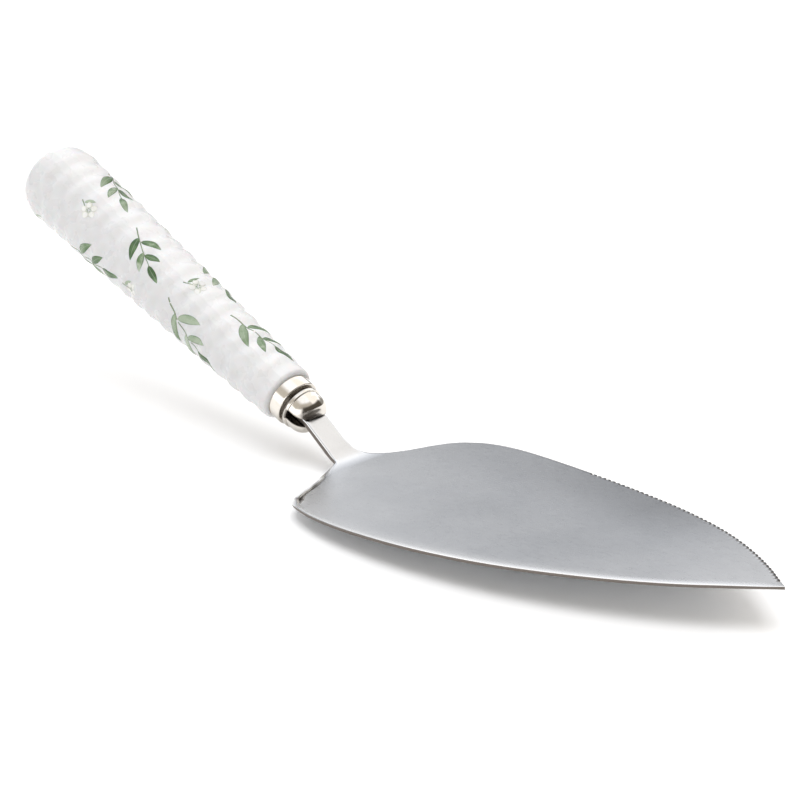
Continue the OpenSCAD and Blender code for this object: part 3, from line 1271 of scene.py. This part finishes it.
    def finish(self, piece: bpy.types.Object, plate: NickelPlate, slot: str, node: str) -> None:
        """Plates a round piece and puts it on the handle's line.

        Args:
            piece: the piece, drawn about the Z axis.
            plate: its finish.
            slot: the name of a material slot, passed on to hand_over.
            node: the node that it stands for.
        """
        # Stores how dark each place is made, with painted shade and a painted dark reflection among it.
        store(piece.data, "tarnish", self.tarnish(np.array([v.co for v in piece.data.vertices])))
        piece.data.transform(self.line.matrix())
        piece.data.materials.clear()
        piece.data.materials.append(plate.material())
        piece.data.set_sharp_from_angle(angle=self.sharp_angle)
        hand_over(piece, slot, node)


class Side(Enum):
    """The two sides of the blade."""

    TOOTHED = 1.0
    PLAIN = -1.0


@dataclass
class EdgeRow:
    """One row of points round an edge of the blade, with a number for each station.

    It holds how far in from the outline the row lies, its height as a share of the thickness, how polished it
    is, how far it belongs to the blank wall of the cut sheet, and how dark it is painted: painted shade on
    the ground faces of the teeth and painted dark reflections across the crescent.
    """

    inset: np.ndarray
    height: np.ndarray
    polish: np.ndarray
    wall: np.ndarray
    ground: np.ndarray


@dataclass
class Blade:
    """The blade, neck and tang, pressed from one sheet and cranked, with ground teeth along one side."""

    reach: float = mm(119.5)
    heel_back: float = mm(20)
    width: float = mm(69.6)
    thickness: float = mm(1.0)
    toothed_fillet: float = mm(8)
    plain_fillet: float = mm(1.5)
    tooth_count: int = 49
    tooth_depth: float = mm(0.8)
    tooth_pull: float = 2.2
    toothed_length: float = mm(82)
    tip_plain: float = mm(2.9)
    neck_width: float = mm(7.2)
    neck_thickness: float = mm(1.8)
    neck_climb: float = math.radians(40)
    handle_climb: float = HANDLE_CLIMB
    bend_back: float = mm(14)
    bend_radius: float = mm(12.5)
    neck_run: float = mm(9.3)
    crank_radius: float = mm(5)
    slot_run: float = mm(4.5)
    tang_width: float = mm(5)
    tang_run: float = mm(52)
    thinned_share: float = 0.04
    sag_width: float = mm(19)
    shade_width: float = mm(34)
    rolled_width: float = mm(4.5)
    roll_power: float = 2.6
    under_polish: float = 0.3
    corner_polish: float = 0.5
    polish_power: int = 6
    crescent_width: float = mm(2.2)
    crescent_drop: float = mm(0.44)
    streak_count: float = 30.0
    streak_slant: float = 0.45
    streak_gap: float = 0.55
    streak_edge: float = 3.5
    streak_depth: float = 0.75
    grind_start: float = mm(0.5)
    grind_width: float = mm(2.2)
    grind_height: float = mm(0.3)
    room_share: float = 0.92
    least_slope: float = 0.05
    sharp_angle: float = math.radians(40)
    curve_steps: int = 60
    bend_samples: int = 400
    fillet_stations: int = 24
    heel_stations: int = 10
    leaf_stations: int = 110
    neck_stations: int = 46
    tip_stations: int = 18
    tooth_steps: int = 12
    lanes: int = 28

    SHARES = {
        Side.TOOTHED: (
            (0.036, 0.311), (0.057, 0.463), (0.079, 0.687), (0.099, 0.823), (0.126, 0.915), (0.160, 0.972),
            (0.210, 0.999), (0.272, 0.990), (0.373, 0.946), (0.473, 0.886), (0.573, 0.812), (0.674, 0.716),
            (0.774, 0.582), (0.860, 0.412), (0.932, 0.222), (1.000, 0.000)),
        Side.PLAIN: (
            (0.027, 0.249), (0.053, 0.561), (0.063, 0.680), (0.078, 0.785), (0.102, 0.868), (0.152, 0.938),
            (0.210, 0.979), (0.280, 0.996), (0.373, 0.985), (0.473, 0.936), (0.573, 0.850), (0.674, 0.720),
            (0.774, 0.556), (0.860, 0.378), (0.932, 0.190), (1.000, 0.000)),
    }
    NOTCH_SHARES = (0.44, 0.54, 0.74)
    TANG_SHARES = (1.0, 0.5, 0.02, 0.0)
    UNDER_ANGLES = (0, 30, 60, 90)
    CORNER_ANGLES = (8, 22.5, 45, 67.5, 90)
    ROLL_PLACES = (0.06, 0.14, 0.25, 0.4, 0.56, 0.72, 0.87, 1.0)

    # How the edges and the top are worked, and where the top's colour is painted darker, as painted
    # shade by the teeth, and brighter, as a painted sheen at the tip and painted highlights on the rolled
    # edge and the crescent. Each pair is a share along the blade and what holds there, with lengths in mm.
    ROLL_WIDTH = {
        Side.TOOTHED: ((0.0, 0.5), (0.12, 1.0), (0.4, 1.2), (1.0, 1.2)),
        Side.PLAIN: ((0.0, 0.5), (0.12, 1.0), (0.35, 1.4), (0.62, 2.0), (1.0, 2.6)),
    }
    ROLL_DROP = {
        Side.TOOTHED: ((0.0, 0.08), (0.08, 0.14), (0.3, 0.12), (0.45, 0.06), (1.0, 0.06)),
        Side.PLAIN: ((0.0, 0.03), (0.12, 0.06), (0.35, 0.08), (0.62, 0.13), (1.0, 0.16)),
    }
    TOP_CORNER = {
        Side.TOOTHED: ((-0.1, 0.2), (0.0, 0.2), (0.1, 0.18), (0.3, 0.13)),
        Side.PLAIN: ((-0.1, 0.5), (0.0, 0.45), (0.1, 0.22), (0.3, 0.13)),
    }
    LOWER_CORNER = ((-0.1, 0.35), (0.0, 0.3), (0.1, 0.15), (0.3, 0.1))
    SAG_DEPTH = ((0.04, 0.0), (0.12, 0.3), (0.25, 0.35), (0.4, 0.5), (0.9, 0.5), (1.0, 0.2))
    GRIND = ((0.30, 0.0), (0.42, 1.0), (0.93, 1.0), (1.0, 0.0))
    CRESCENT = ((0.01, 0.0), (0.055, 1.0), (0.09, 0.9), (0.125, 0.0))
    NECK_POLISH = ((-0.02, 0.8), (0.05, 0.0))
    TOOTH_SIDE_SHADE = ((0.2, 0.0), (0.5, 0.65), (0.62, 0.9), (0.72, 0.6), (0.8, 0.1))
    TIP_SHEEN = ((0.62, 0.0), (0.82, 0.4), (0.96, 1.0))
    ROLL_SHEEN = ((0.01, 0.0), (0.04, 1.0), (0.09, 1.0), (0.125, 0.0), (0.5, 1.0))
    # The same along one tooth, and across the soft roll from the edge inwards: where the teeth are painted
    # dark, as painted shade, and where the crescent's painted dark reflections lie.
    TOOTH_FACE = ((0.0, 0.3), (0.1, 1.0), (0.5, 1.0), (0.62, 0.3), (1.0, 0.3))
    GROUND_ACROSS = ((0.25, 1.0), (0.56, 0.0))
    STREAK_ACROSS = ((0.0, 0.0), (0.2, 1.0), (0.8, 1.0), (1.0, 0.0))

    def share_along(self, x: np.ndarray) -> np.ndarray:
        """How far along the blade a place lies, from 0 at the heel to 1 at the tip."""
        return (x + self.heel_back) / (self.reach + self.heel_back)

    def leaf_places(self, side: Side) -> np.ndarray:
        """The places that one side of the leaf runs through, one row for each, both drawn as if on +Y."""
        length = self.reach + self.heel_back
        return np.array(self.SHARES[side]) * [length, self.width / 2] - [self.heel_back, 0.0]

    def leaf_side(self, side: Side) -> np.ndarray:
        """One side of the leaf from heel to tip, as a smooth curve through its places.

        Args:
            side: which side.

        Returns:
            One row for each point, with its distance from the origin and its half width.
        """
        places = self.leaf_places(side)
        padded = np.vstack([2 * places[0] - places[1], places, 2 * places[-1] - places[-2]])
        steps = np.linspace(0, 1, self.curve_steps, endpoint=False)[:, None]
        runs = []
        for a, b, c, d in zip(padded, padded[1:], padded[2:], padded[3:]):
            runs.append((2 * b + (c - a) * steps + (2 * a - 5 * b + 4 * c - d) * steps ** 2
                         + (3 * b - a - 3 * c + d) * steps ** 3) / 2)
        return np.vstack([*runs, places[-1:]])

    def flat_place(self, x: np.ndarray) -> np.ndarray:
        """Where a place on the bent blade's top lies on the sheet before it is bent.

        Args:
            x: the place along X.

        Returns:
            The distance along the flat sheet, from the same origin.
        """
        along = np.linspace(-self.path_lengths()[1], -self.bend_back, self.bend_samples)
        bent = self.bend(along, np.ones(len(along)))[0]
        return np.where(x < -self.bend_back, np.interp(x, bent, along), x)

    def neck_fillet(self, side: Side) -> np.ndarray:
        """The fillet in plan from the neck's side to the heel.

        Args:
            side: which side of the blade.

        Returns:
            Its points from the neck to the heel.
        """
        start, after = self.leaf_places(side)[:2]
        radius = self.toothed_fillet if side is Side.TOOTHED else self.plain_fillet
        heading = math.atan2(after[1] - start[1], after[0] - start[0])
        corner_x = start[0] - (start[1] - self.neck_width / 2) / math.tan(heading)
        middle = np.array([corner_x - radius * math.tan(heading / 2), self.neck_width / 2 + radius])
        angles = np.linspace(0, heading, self.fillet_stations)
        return middle + radius * np.stack([np.sin(angles), -np.cos(angles)], axis=1)

    def path_lengths(self) -> tuple[float, float, float, float]:
        """How far along the flat sheet the bent parts come.

        Returns:
            The distances from the origin back to the ends of the bend, of the straight neck and of the crank,
            and to the slot's floor.
        """
        bend_end = self.bend_back + self.bend_radius * self.neck_climb
        crank_start = bend_end + self.neck_run
        crank_end = crank_start + self.crank_radius * (self.neck_climb - self.handle_climb)
        return bend_end, crank_start, crank_end, crank_end + self.slot_run

    def stations(self, side: Side) -> tuple[np.ndarray, np.ndarray]:
        """Places on one side of the flat sheet's outline, from the end of the tang to the tip.

        Args:
            side: which side. Both have as many places, and the first tooth lies at the same one.

        Returns:
            One row for each place, with its distance along the sheet and its half width, and how far each
            place lies along the leaf's side from the first tooth.
        """
        leaf = self.leaf_side(side)
        runs = np.concatenate([[0], np.cumsum(np.linalg.norm(np.diff(leaf, axis=0), axis=1))])
        first = np.interp(self.reach - self.toothed_length, leaf[:, 0], runs)
        last = runs[-1] - self.tip_plain
        wanted = np.concatenate([np.linspace(0, first, self.leaf_stations, endpoint=False),
                                 np.linspace(first, last, self.tooth_count * self.tooth_steps + 1),
                                 np.linspace(last, runs[-1], self.tip_stations)[1:]])
        edge = np.stack([np.interp(wanted, runs, leaf[:, 0]), np.interp(wanted, runs, leaf[:, 1])], axis=1)
        fillet = self.neck_fillet(side)
        heel = fillet[-1] + (edge[0] - fillet[-1]) * np.linspace(0, 1, self.heel_stations)[1:-1, None]
        plan = np.vstack([fillet, heel, edge])
        sheet = np.stack([self.flat_place(plan[:, 0]), plan[:, 1]], axis=1)
        neck_end = -self.path_lengths()[3]
        tang = [(neck_end - self.tang_run * share, self.tang_width / 2) for share in self.TANG_SHARES]
        neck_places = np.linspace(neck_end, sheet[0, 0], self.neck_stations, endpoint=False)
        neck = [(s, self.neck_width / 2) for s in neck_places]
        outline = np.vstack([tang, neck, sheet])
        return outline, np.concatenate([np.full(len(outline) - len(wanted), -1.0), wanted - first])

    def inward(self, outline: np.ndarray) -> np.ndarray:
        """The direction into the sheet at each station, on the +Y side.

        Args:
            outline: the stations.

        Returns:
            One row of two numbers for each station, of length 1.
        """
        ahead = np.gradient(outline, axis=0)
        on_neck = np.abs(outline[:, 1] - self.neck_width / 2) < SAME_PLACE
        on_tang = outline[:, 1] < self.tang_width / 2 + SAME_PLACE
        straight = (on_neck | on_tang) & (outline[:, 0] < 0)
        ahead[straight] = [1.0, 0.0]
        ahead[-1] = ahead[-2]
        ahead /= np.linalg.norm(ahead, axis=1)[:, None]
        return np.stack([ahead[:, 1], -ahead[:, 0]], axis=1)

    def bend(self, along: np.ndarray, height: np.ndarray) -> tuple[np.ndarray, np.ndarray]:
        """Bends the flat sheet up into the neck and on into the handle's line.

        Args:
            along: distance along the flat sheet.
            height: share of the sheet's thickness above its underside.

        Returns:
            The places along X and Z.
        """
        bend_end, crank_start, crank_end, _ = self.path_lengths()
        back = -along
        arc = np.clip((back - self.bend_back) / self.bend_radius, 0, self.neck_climb)
        x = -self.bend_back - self.bend_radius * np.sin(arc)
        z = self.bend_radius - self.bend_radius * np.cos(arc)
        straight = np.clip(back - bend_end, 0, self.neck_run)
        x = x - straight * math.cos(self.neck_climb)
        z = z + straight * math.sin(self.neck_climb)
        turned = np.clip((back - crank_start) / self.crank_radius, 0, self.neck_climb - self.handle_climb)
        climb = np.where(turned > 0, self.neck_climb - turned, arc)
        x = x - self.crank_radius * (math.sin(self.neck_climb) - np.sin(self.neck_climb - turned))
        z = z + self.crank_radius * (np.cos(self.neck_climb - turned) - math.cos(self.neck_climb))
        rest = np.maximum(back - crank_end, 0)
        x = x - rest * math.cos(self.handle_climb)
        z = z + rest * math.sin(self.handle_climb)
        x = np.where(back > self.bend_back, x, along)
        thick = self.thickness + (self.neck_thickness - self.thickness) * arc / self.neck_climb
        lift = height * thick
        return x + np.sin(climb) * lift, np.where(back > self.bend_back, z, 0.0) + np.cos(climb) * lift

    def off_edge(self, side: Side, along: np.ndarray, across: np.ndarray) -> np.ndarray:
        """How far places on the flat sheet lie inside one side of the leaf.

        Args:
            side: which side of the blade.
            along: the places along the flat sheet.
            across: the places across it.

        Returns:
            The distance of each place, measured straight across the blade.
        """
        leaf = self.leaf_side(side)
        return np.interp(along, leaf[:, 0], leaf[:, 1]) - across * side.value

    def sag(self, along: np.ndarray, across: np.ndarray) -> np.ndarray:
        """How far the top falls away towards the toothed edge, where the sheet is ground thinner.

        Args:
            along: the places along the flat sheet.
            across: the places across it.

        Returns:
            The share of the thickness that is gone at each place.
        """
        inside = np.clip(self.off_edge(Side.TOOTHED, along, across) / self.sag_width, 0, 1)
        return mm(read_off(self.SAG_DEPTH, self.share_along(along))) * (1 - inside) ** 2 / self.thickness

    def shade(self, along: np.ndarray, across: np.ndarray) -> np.ndarray:
        """Where the steel's colour is painted: painted shade by the teeth, and a painted sheen at the tip
        and painted highlights on the rolled edge and the crescent.

        Args:
            along: the places along the flat sheet.
            across: the places across it.

        Returns:
            A number at each place from -1, painted bright, to 1, painted dark.
        """
        share = self.share_along(along)
        inside = np.clip(self.off_edge(Side.TOOTHED, along, across) / self.shade_width, 0, 1)
        rolled = np.clip(1 - self.off_edge(Side.PLAIN, along, across) / self.rolled_width, 0, 1)
        # Painted sheen at the tip, and painted highlights on the rolled edge and the crescent.
        worn = np.maximum(read_off(self.TIP_SHEEN, share), rolled * read_off(self.ROLL_SHEEN, share))
        # Painted shade by the teeth, less the painted sheen and highlights.
        return read_off(self.TOOTH_SIDE_SHADE, share) * (1 - eased(inside)) - worn

    def toothed_run(self) -> float:
        """How long the row of teeth is along the leaf's side."""
        return self.stations(Side.TOOTHED)[1].max() - self.tip_plain

    def tooth_faces(self) -> np.ndarray:
        """How far each station of the toothed side lies on the ground face of a tooth.

        The ground face is painted dark, as painted shade.

        Returns:
            A number from 0 to 1 for each station.
        """
        run = self.stations(Side.TOOTHED)[1]
        length = self.toothed_run()
        phase = run / (length / self.tooth_count) % 1
        return ((run > 0) & (run < length)) * read_off(self.TOOTH_FACE, phase)

    def edge_style(self, outline: np.ndarray, side: Side) -> dict[str, np.ndarray]:
        """How the edge is worked at each station.

        Args:
            outline: the stations.
            side: which side of the blade.

        Returns:
            For each station the width and drop of the soft roll towards the edge, the radius of the top and
            the lower corner, the width and height of the grind under the edge, how polished the roll is, how
            far the station lies on a ground face of a tooth and how strong the polished crescent is.
        """
        share = self.share_along(outline[:, 0])
        grind = read_off(self.GRIND, share) * (side is Side.TOOTHED)
        crescent = eased(read_off(self.CRESCENT, share)) * (side is Side.PLAIN)
        return {
            "wide": mm(read_off(self.ROLL_WIDTH[side], share)) + crescent * self.crescent_width,
            "drop": mm(read_off(self.ROLL_DROP[side], share)) + crescent * self.crescent_drop,
            "corner": mm(read_off(self.TOP_CORNER[side], share)),
            "under": mm(read_off(self.LOWER_CORNER, share)),
            "grind_width": self.grind_start + grind * self.grind_width,
            "grind_height": grind * self.grind_height,
            "polish": np.maximum(crescent, read_off(self.NECK_POLISH, share)),
            "ground": self.tooth_faces() if side is Side.TOOTHED else np.zeros(len(outline)),
            "crescent": crescent,
        }

    def streaks(self, share: np.ndarray, out: float) -> np.ndarray:
        """The dark slanting streaks painted across the polished crescent, as painted dark reflections.

        Args:
            share: how far along the blade each station lies.
            out: how far across the roll, from 0 at its edge to 1.

        Returns:
            How dark each station would be if it lay fully in the crescent, from 0 to 1.
        """
        wave = np.sin(2 * np.pi * (share * self.streak_count - out * self.streak_slant))
        dark = np.clip((wave - self.streak_gap) * self.streak_edge, 0, 1)
        return self.streak_depth * dark * read_off(self.STREAK_ACROSS, out)

    def edge_rows(self, outline: np.ndarray, style: dict[str, np.ndarray]) -> list[EdgeRow]:
        """The rows of points round one edge, from the underside to the top.

        Args:
            outline: the stations.
            style: how the edge is worked.

        Returns:
            The rows: the grind underneath, the lower corner, the wall, the top corner and the soft roll.
        """
        share = self.share_along(outline[:, 0])
        thick = np.interp(share, [0, self.thinned_share], [self.neck_thickness, self.thickness])
        normal_y = np.maximum(np.abs(self.inward(outline)[:, 1]), self.least_slope)
        room = outline[:, 1] / normal_y * self.room_share
        widest = np.maximum(style["corner"] + style["wide"], style["grind_width"])
        fit = np.minimum(1.0, room / widest)
        corner, under = style["corner"], style["under"]
        rise, drop = style["grind_height"] * fit, style["drop"] * fit
        top = thick - drop
        ones, none = np.ones(len(outline)), np.zeros(len(outline))
        rows = [EdgeRow(style["grind_width"] * fit, none, self.under_polish * ones, none, none)]
        for angle in np.radians(self.UNDER_ANGLES):
            inset = under * (1 - math.sin(angle)) * fit
            height = (rise + under * (1 - math.cos(angle))) / thick
            rows.append(EdgeRow(inset, height, self.corner_polish * ones, ones, none))
        rows.append(EdgeRow(none, (rows[-1].height * thick + top - corner) / 2 / thick, none, ones, none))
        rows.append(EdgeRow(none, (top - corner) / thick, none, ones, none))
        for angle in np.radians(self.CORNER_ANGLES):
            inset = corner * (1 - math.cos(angle)) * fit
            height = (top - corner * (1 - math.sin(angle))) / thick
            rows.append(EdgeRow(inset, height, ones, none, style["ground"]))
        for out in self.ROLL_PLACES:
            inset = (corner + style["wide"] * out) * fit
            height = (thick - drop * (1 - out) ** self.roll_power) / thick
            polish = style["polish"] * (1 - out ** self.polish_power)
            polish = np.maximum(polish, self.under_polish * (1 - out))
            ground = np.maximum(style["ground"] * read_off(self.GROUND_ACROSS, out),
                                self.streaks(share, out) * style["crescent"])
            rows.append(EdgeRow(inset, height, polish, none, ground))
        return rows

    def sheet_mesh(self) -> bpy.types.Mesh:
        """The whole blade as one closed mesh with the numbers that the teeth and the steel read.

        Returns:
            The mesh, bent, with its teeth still to be ground.
        """
        outlines = {side: self.stations(side)[0] for side in Side}
        inward = {side: self.inward(outlines[side]) for side in Side}
        rows = {side: self.edge_rows(outlines[side], self.edge_style(outlines[side], side)) for side in Side}
        count = len(outlines[Side.PLAIN])
        columns: list[dict[str, np.ndarray]] = []

        def add(place: np.ndarray, height: np.ndarray, **numbers: np.ndarray) -> None:
            """Keeps one row of points that runs from the tang to the tip."""
            x, z = self.bend(place[:, 0], height * (1 - self.sag(place[:, 0], place[:, 1])))
            numbers["shade"] = self.shade(place[:, 0], place[:, 1])
            columns.append({"point": np.stack([x, place[:, 1], z], axis=1)} | numbers)

        def inset_place(side: Side, inset: np.ndarray) -> np.ndarray:
            """The places on the flat sheet at an inset from one side."""
            return (outlines[side] + inward[side] * inset[:, None]) * [1.0, side.value]

        def add_edge(side: Side, row: EdgeRow) -> None:
            """Keeps one row of an edge."""
            reach = self.tooth_depth * self.tooth_pull
            pull = np.maximum(0, 1 - row.inset / reach) if side is Side.TOOTHED else np.zeros(count)
            add(inset_place(side, row.inset), row.height, polish=row.polish, wall=row.wall, ground=row.ground,
                pull=pull)

        def add_lanes(first: Side, last: Side, height: float, edge: int) -> None:
            """Keeps the rows between the two edges, on the top or underneath."""
            ends = [inset_place(side, rows[side][edge].inset) for side in (first, last)]
            zeros = np.zeros(count)
            for lane in range(1, self.lanes):
                share = lane / self.lanes
                add(ends[0] * (1 - share) + ends[1] * share, np.full(count, height), polish=zeros, wall=zeros,
                    ground=zeros, pull=zeros)

        for row in rows[Side.TOOTHED]:
            add_edge(Side.TOOTHED, row)
        add_lanes(Side.TOOTHED, Side.PLAIN, 1.0, -1)
        for row in reversed(rows[Side.PLAIN]):
            add_edge(Side.PLAIN, row)
        add_lanes(Side.PLAIN, Side.TOOTHED, 0.0, 0)

        loop = len(columns)
        points = np.stack([c["point"] for c in columns], axis=1).reshape(-1, 3)
        faces = []
        for i in range(count - 1):
            for j in range(loop):
                after = (j + 1) % loop
                faces.append((i * loop + j, i * loop + after, (i + 1) * loop + after, (i + 1) * loop + j))
        faces.append(tuple(range(loop)))
        mesh = new_mesh("blade", points, faces)
        store(mesh, "tooth_run", np.repeat(self.stations(Side.TOOTHED)[1], loop))
        for name in ("pull", "polish", "wall", "ground", "shade"):
            store(mesh, name, np.stack([c[name] for c in columns], axis=1).ravel())
        into = np.concatenate([inward[Side.TOOTHED], np.zeros((count, 1))], axis=1)
        store(mesh, "into_sheet", np.repeat(into, loop, axis=0))
        close_up(mesh)
        return mesh

    def teeth_tree(self) -> Tree:
        """The rule that grinds the notches: it draws the edge's own points into the sheet.

        Returns:
            The tree.
        """
        sizes = ("pitch", "depth", "length", "notch start", "notch floor", "floor end")
        inputs = {"Geometry": "Geometry"} | {name: "Float" for name in sizes} | {"steel": "Material"}
        tree = Tree.geometry("ground_teeth", inputs, {"Geometry": "Geometry"})
        run, pull = tree.stored("tooth_run"), tree.stored("pull")
        into = tree.stored("into_sheet", "FLOAT_VECTOR")
        share = (run / tree.given("pitch")).math("FRACT")
        down = share.span(tree.given("notch start"), tree.given("notch floor"), 0.0, 1.0)
        back = share.span(tree.given("floor end"), 1.0, 1.0, 0.0)
        inside = run.math("GREATER_THAN", 0.0) * run.math("LESS_THAN", tree.given("length"))
        depth = tree.given("depth") * down.math("MINIMUM", back) * pull * inside
        move = tree.call("ShaderNodeVectorMath", {"Vector": into, "Scale": depth}, operation="SCALE")
        cut = tree.call("GeometryNodeSetPosition", {"Geometry": tree.given("Geometry"), "Offset": move})
        tree.give_dressed(cut, "steel")
        return tree

    def build(self, steel: SatinSteel) -> bpy.types.Object:
        """Makes the blade.

        Args:
            steel: its finish.

        Returns:
            The finished piece.
        """
        piece = new_object("server_blade", self.sheet_mesh())
        length = self.toothed_run()
        start, floor, floor_end = self.NOTCH_SHARES
        sizes = {"pitch": length / self.tooth_count, "depth": self.tooth_depth, "length": length,
                 "notch start": start, "notch floor": floor, "floor end": floor_end}
        grow(piece, self.teeth_tree(), sizes | {"steel": steel.material()})
        for face in piece.data.polygons:
            face.use_smooth = True
        piece.data.set_sharp_from_angle(angle=self.sharp_angle)
        hand_over(piece, "blade_steel", "blade")
        return piece


@dataclass(frozen=True)
class Viewpoint:
    """Where the photograph was taken from, found from the blade's outline and the ferrule's round rim."""

    eye: tuple[float, float, float] = (0.378995, -0.367981, 0.187047)
    azimuth: float = math.radians(45.615)
    elevation: float = math.radians(17.454)
    roll: float = math.radians(-3.0)
    lens: float = 99.0
    sensor: float = 36.0

    def basis(self) -> tuple[Vector, Vector, Vector]:
        """Which ways the camera faces.

        Returns:
            Its right, up and forward directions.
        """
        level = Vector((math.cos(self.azimuth), math.sin(self.azimuth), 0))
        forward = Vector((-math.sin(self.azimuth) * math.cos(self.elevation),
                          math.cos(self.azimuth) * math.cos(self.elevation), -math.sin(self.elevation)))
        upright = level.cross(forward)
        right = level * math.cos(self.roll) + upright * math.sin(self.roll)
        up = upright * math.cos(self.roll) - level * math.sin(self.roll)
        return right, up, forward

    def place(self) -> bpy.types.Object:
        """Makes the scene's camera.

        Returns:
            The camera.
        """
        data = bpy.data.cameras.new("camera")
        data.lens = self.lens
        data.sensor_width = self.sensor
        data.clip_start = mm(10)
        camera = bpy.data.objects.new("camera", data)
        bpy.context.scene.collection.objects.link(camera)
        right, up, forward = self.basis()
        turn = Matrix((right, up, -forward)).transposed().to_4x4()
        camera.matrix_world = Matrix.Translation(self.eye) @ turn
        bpy.context.scene.camera = camera
        return camera


@dataclass(frozen=True)
class Panel:
    """A wide soft patch of the room round the object, as a mirror would show it.

    Its sides are in degrees from the camera's own direction, with more to the camera's right. Its foot and
    head are in degrees above the horizon.
    """

    tone: Colour
    left: float
    right: float
    foot: float
    head: float
    blur: float = 6.0

    def mask(self, bearing: Value, height: Value) -> Value:
        """How much of the panel is seen in a direction.

        Args:
            bearing: degrees from the camera's direction.
            height: degrees above the horizon.

        Returns:
            A number from 0 to 1.
        """
        across = bearing.smooth(self.left - self.blur, self.left + self.blur)
        across = across * bearing.smooth(self.right + self.blur, self.right - self.blur)
        upward = height.smooth(self.foot - self.blur, self.foot + self.blur)
        return across * upward * height.smooth(self.head + self.blur, self.head - self.blur)


@dataclass
class Studio:
    """A pale floor, a soft light overhead and a room of pale walls with a dark opening to the right."""

    view: Viewpoint
    floor_drop: float = mm(4)
    floor_tilt: float = 0.06
    floor_size: float = 60.0
    floor_tone: float = 0.96
    sun_strength: float = 1.15
    sun_width: float = math.radians(40)
    sun_lean: tuple[float, float] = (0.28, -0.2)
    far_low: Colour = (0.25, 0.255, 0.265)
    far_high: Colour = (1.34, 1.36, 1.41)
    far_rise: tuple[float, float] = (8.0, 56.0)
    panels: tuple[Panel, ...] = (
        Panel((1.05, 1.05, 1.05), -178, -140, 0, 60, 7),
        Panel((1.9, 1.9, 1.9), 120, 160, 8, 60, 7),
        Panel((0.66, 0.62, 0.56), -75, 62, 20, 59, 11),
        Panel((0.34, 0.33, 0.31), 88, 150, -60, 24, 8),
        Panel((1.30, 1.245, 1.18), 62, 150, 31, 78, 6),
        Panel((0.10, 0.088, 0.072), -10, 112, -60, 33, 7),
        Panel((2.0, 2.0, 2.0), -80, -9, -60, 25, 6),
    )

    def floor(self) -> bpy.types.Object:
        """Lays the floor, which falls away a little towards the tip as under the photographed server.

        Returns:
            The floor.
        """
        half = self.floor_size / 2
        corners = []
        for x, y in ((-half, -half), (half, -half), (half, half), (-half, half)):
            corners.append((x, y, -self.floor_drop - x * self.floor_tilt))
        floor = new_object("floor", new_mesh("floor", np.array(corners), [(0, 1, 2, 3)]))
        look = Surface("white_floor", Roughness=0.9, Specular_IOR_Level=0.0)
        look.set("Base Color", (self.floor_tone, self.floor_tone, self.floor_tone, 1.0))
        floor.data.materials.append(look.material)
        return floor

    def overhead(self) -> bpy.types.Object:
        """Hangs the wide light overhead.

        Returns:
            The light.
        """
        data = bpy.data.lights.new("overhead", "SUN")
        data.energy = self.sun_strength
        data.angle = self.sun_width
        light = bpy.data.objects.new("overhead", data)
        light.visible_glossy = False
        bpy.context.scene.collection.objects.link(light)
        light.rotation_euler = Vector((*self.sun_lean, 1.0)).to_track_quat("Z", "Y").to_euler()
        return light

    def room(self) -> None:
        """Paints the room as a mirror would show it. The far wall comes first, then each panel over it."""
        world = bpy.data.worlds.new("room")
        bpy.context.scene.world = world
        world.use_nodes = True
        tree = Tree(world.node_tree)
        x, y, z = tree.parts(tree.call("ShaderNodeTexCoord", {}, "Generated"))
        toward = -self.view.basis()[2]
        level = Vector((toward.x, toward.y)).normalized()
        to_right = x * -level.y + y * level.x
        bearing = to_right.math("ARCTAN2", x * level.x + y * level.y).math("DEGREES")
        height = z.math("ARCSINE").math("DEGREES")
        tone = tree.blend(height.smooth(*self.far_rise), self.far_low, self.far_high)
        for panel in self.panels:
            tone = tree.blend(panel.mask(bearing, height), tone, panel.tone)
        background = next(n for n in tree.tree.nodes if n.type == "BACKGROUND")
        tree.feed(background.inputs["Color"], tone)

    def build(self) -> None:
        """Sets the whole stage."""
        self.view.place()
        self.floor()
        self.overhead()
        self.room()
        bpy.context.scene.view_settings.view_transform = "Standard"


def main() -> None:
    """Builds the cake server piece by piece and sets the stage round it."""
    logging.basicConfig(level=logging.INFO, format="%(message)s")
    Studio(Viewpoint()).build()
    line = HandleLine.from_frame(HANDLE_CLIMB)
    handle = ThrownHandle(line)
    handle.build(PorcelainGlaze())
    TransferPrint(handle).build(WatercolourPrint())
    ferrule = Ferrule(line)
    ferrule.collar(NickelPlate("nickel_collar"))
    ferrule.cap(NickelPlate("nickel_cap", bright=(0.79, 0.755, 0.70)))
    Blade().build(SatinSteel())
    SettingCement().dress(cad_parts["setting_cement"])


if __name__ == "__main__":
    main()
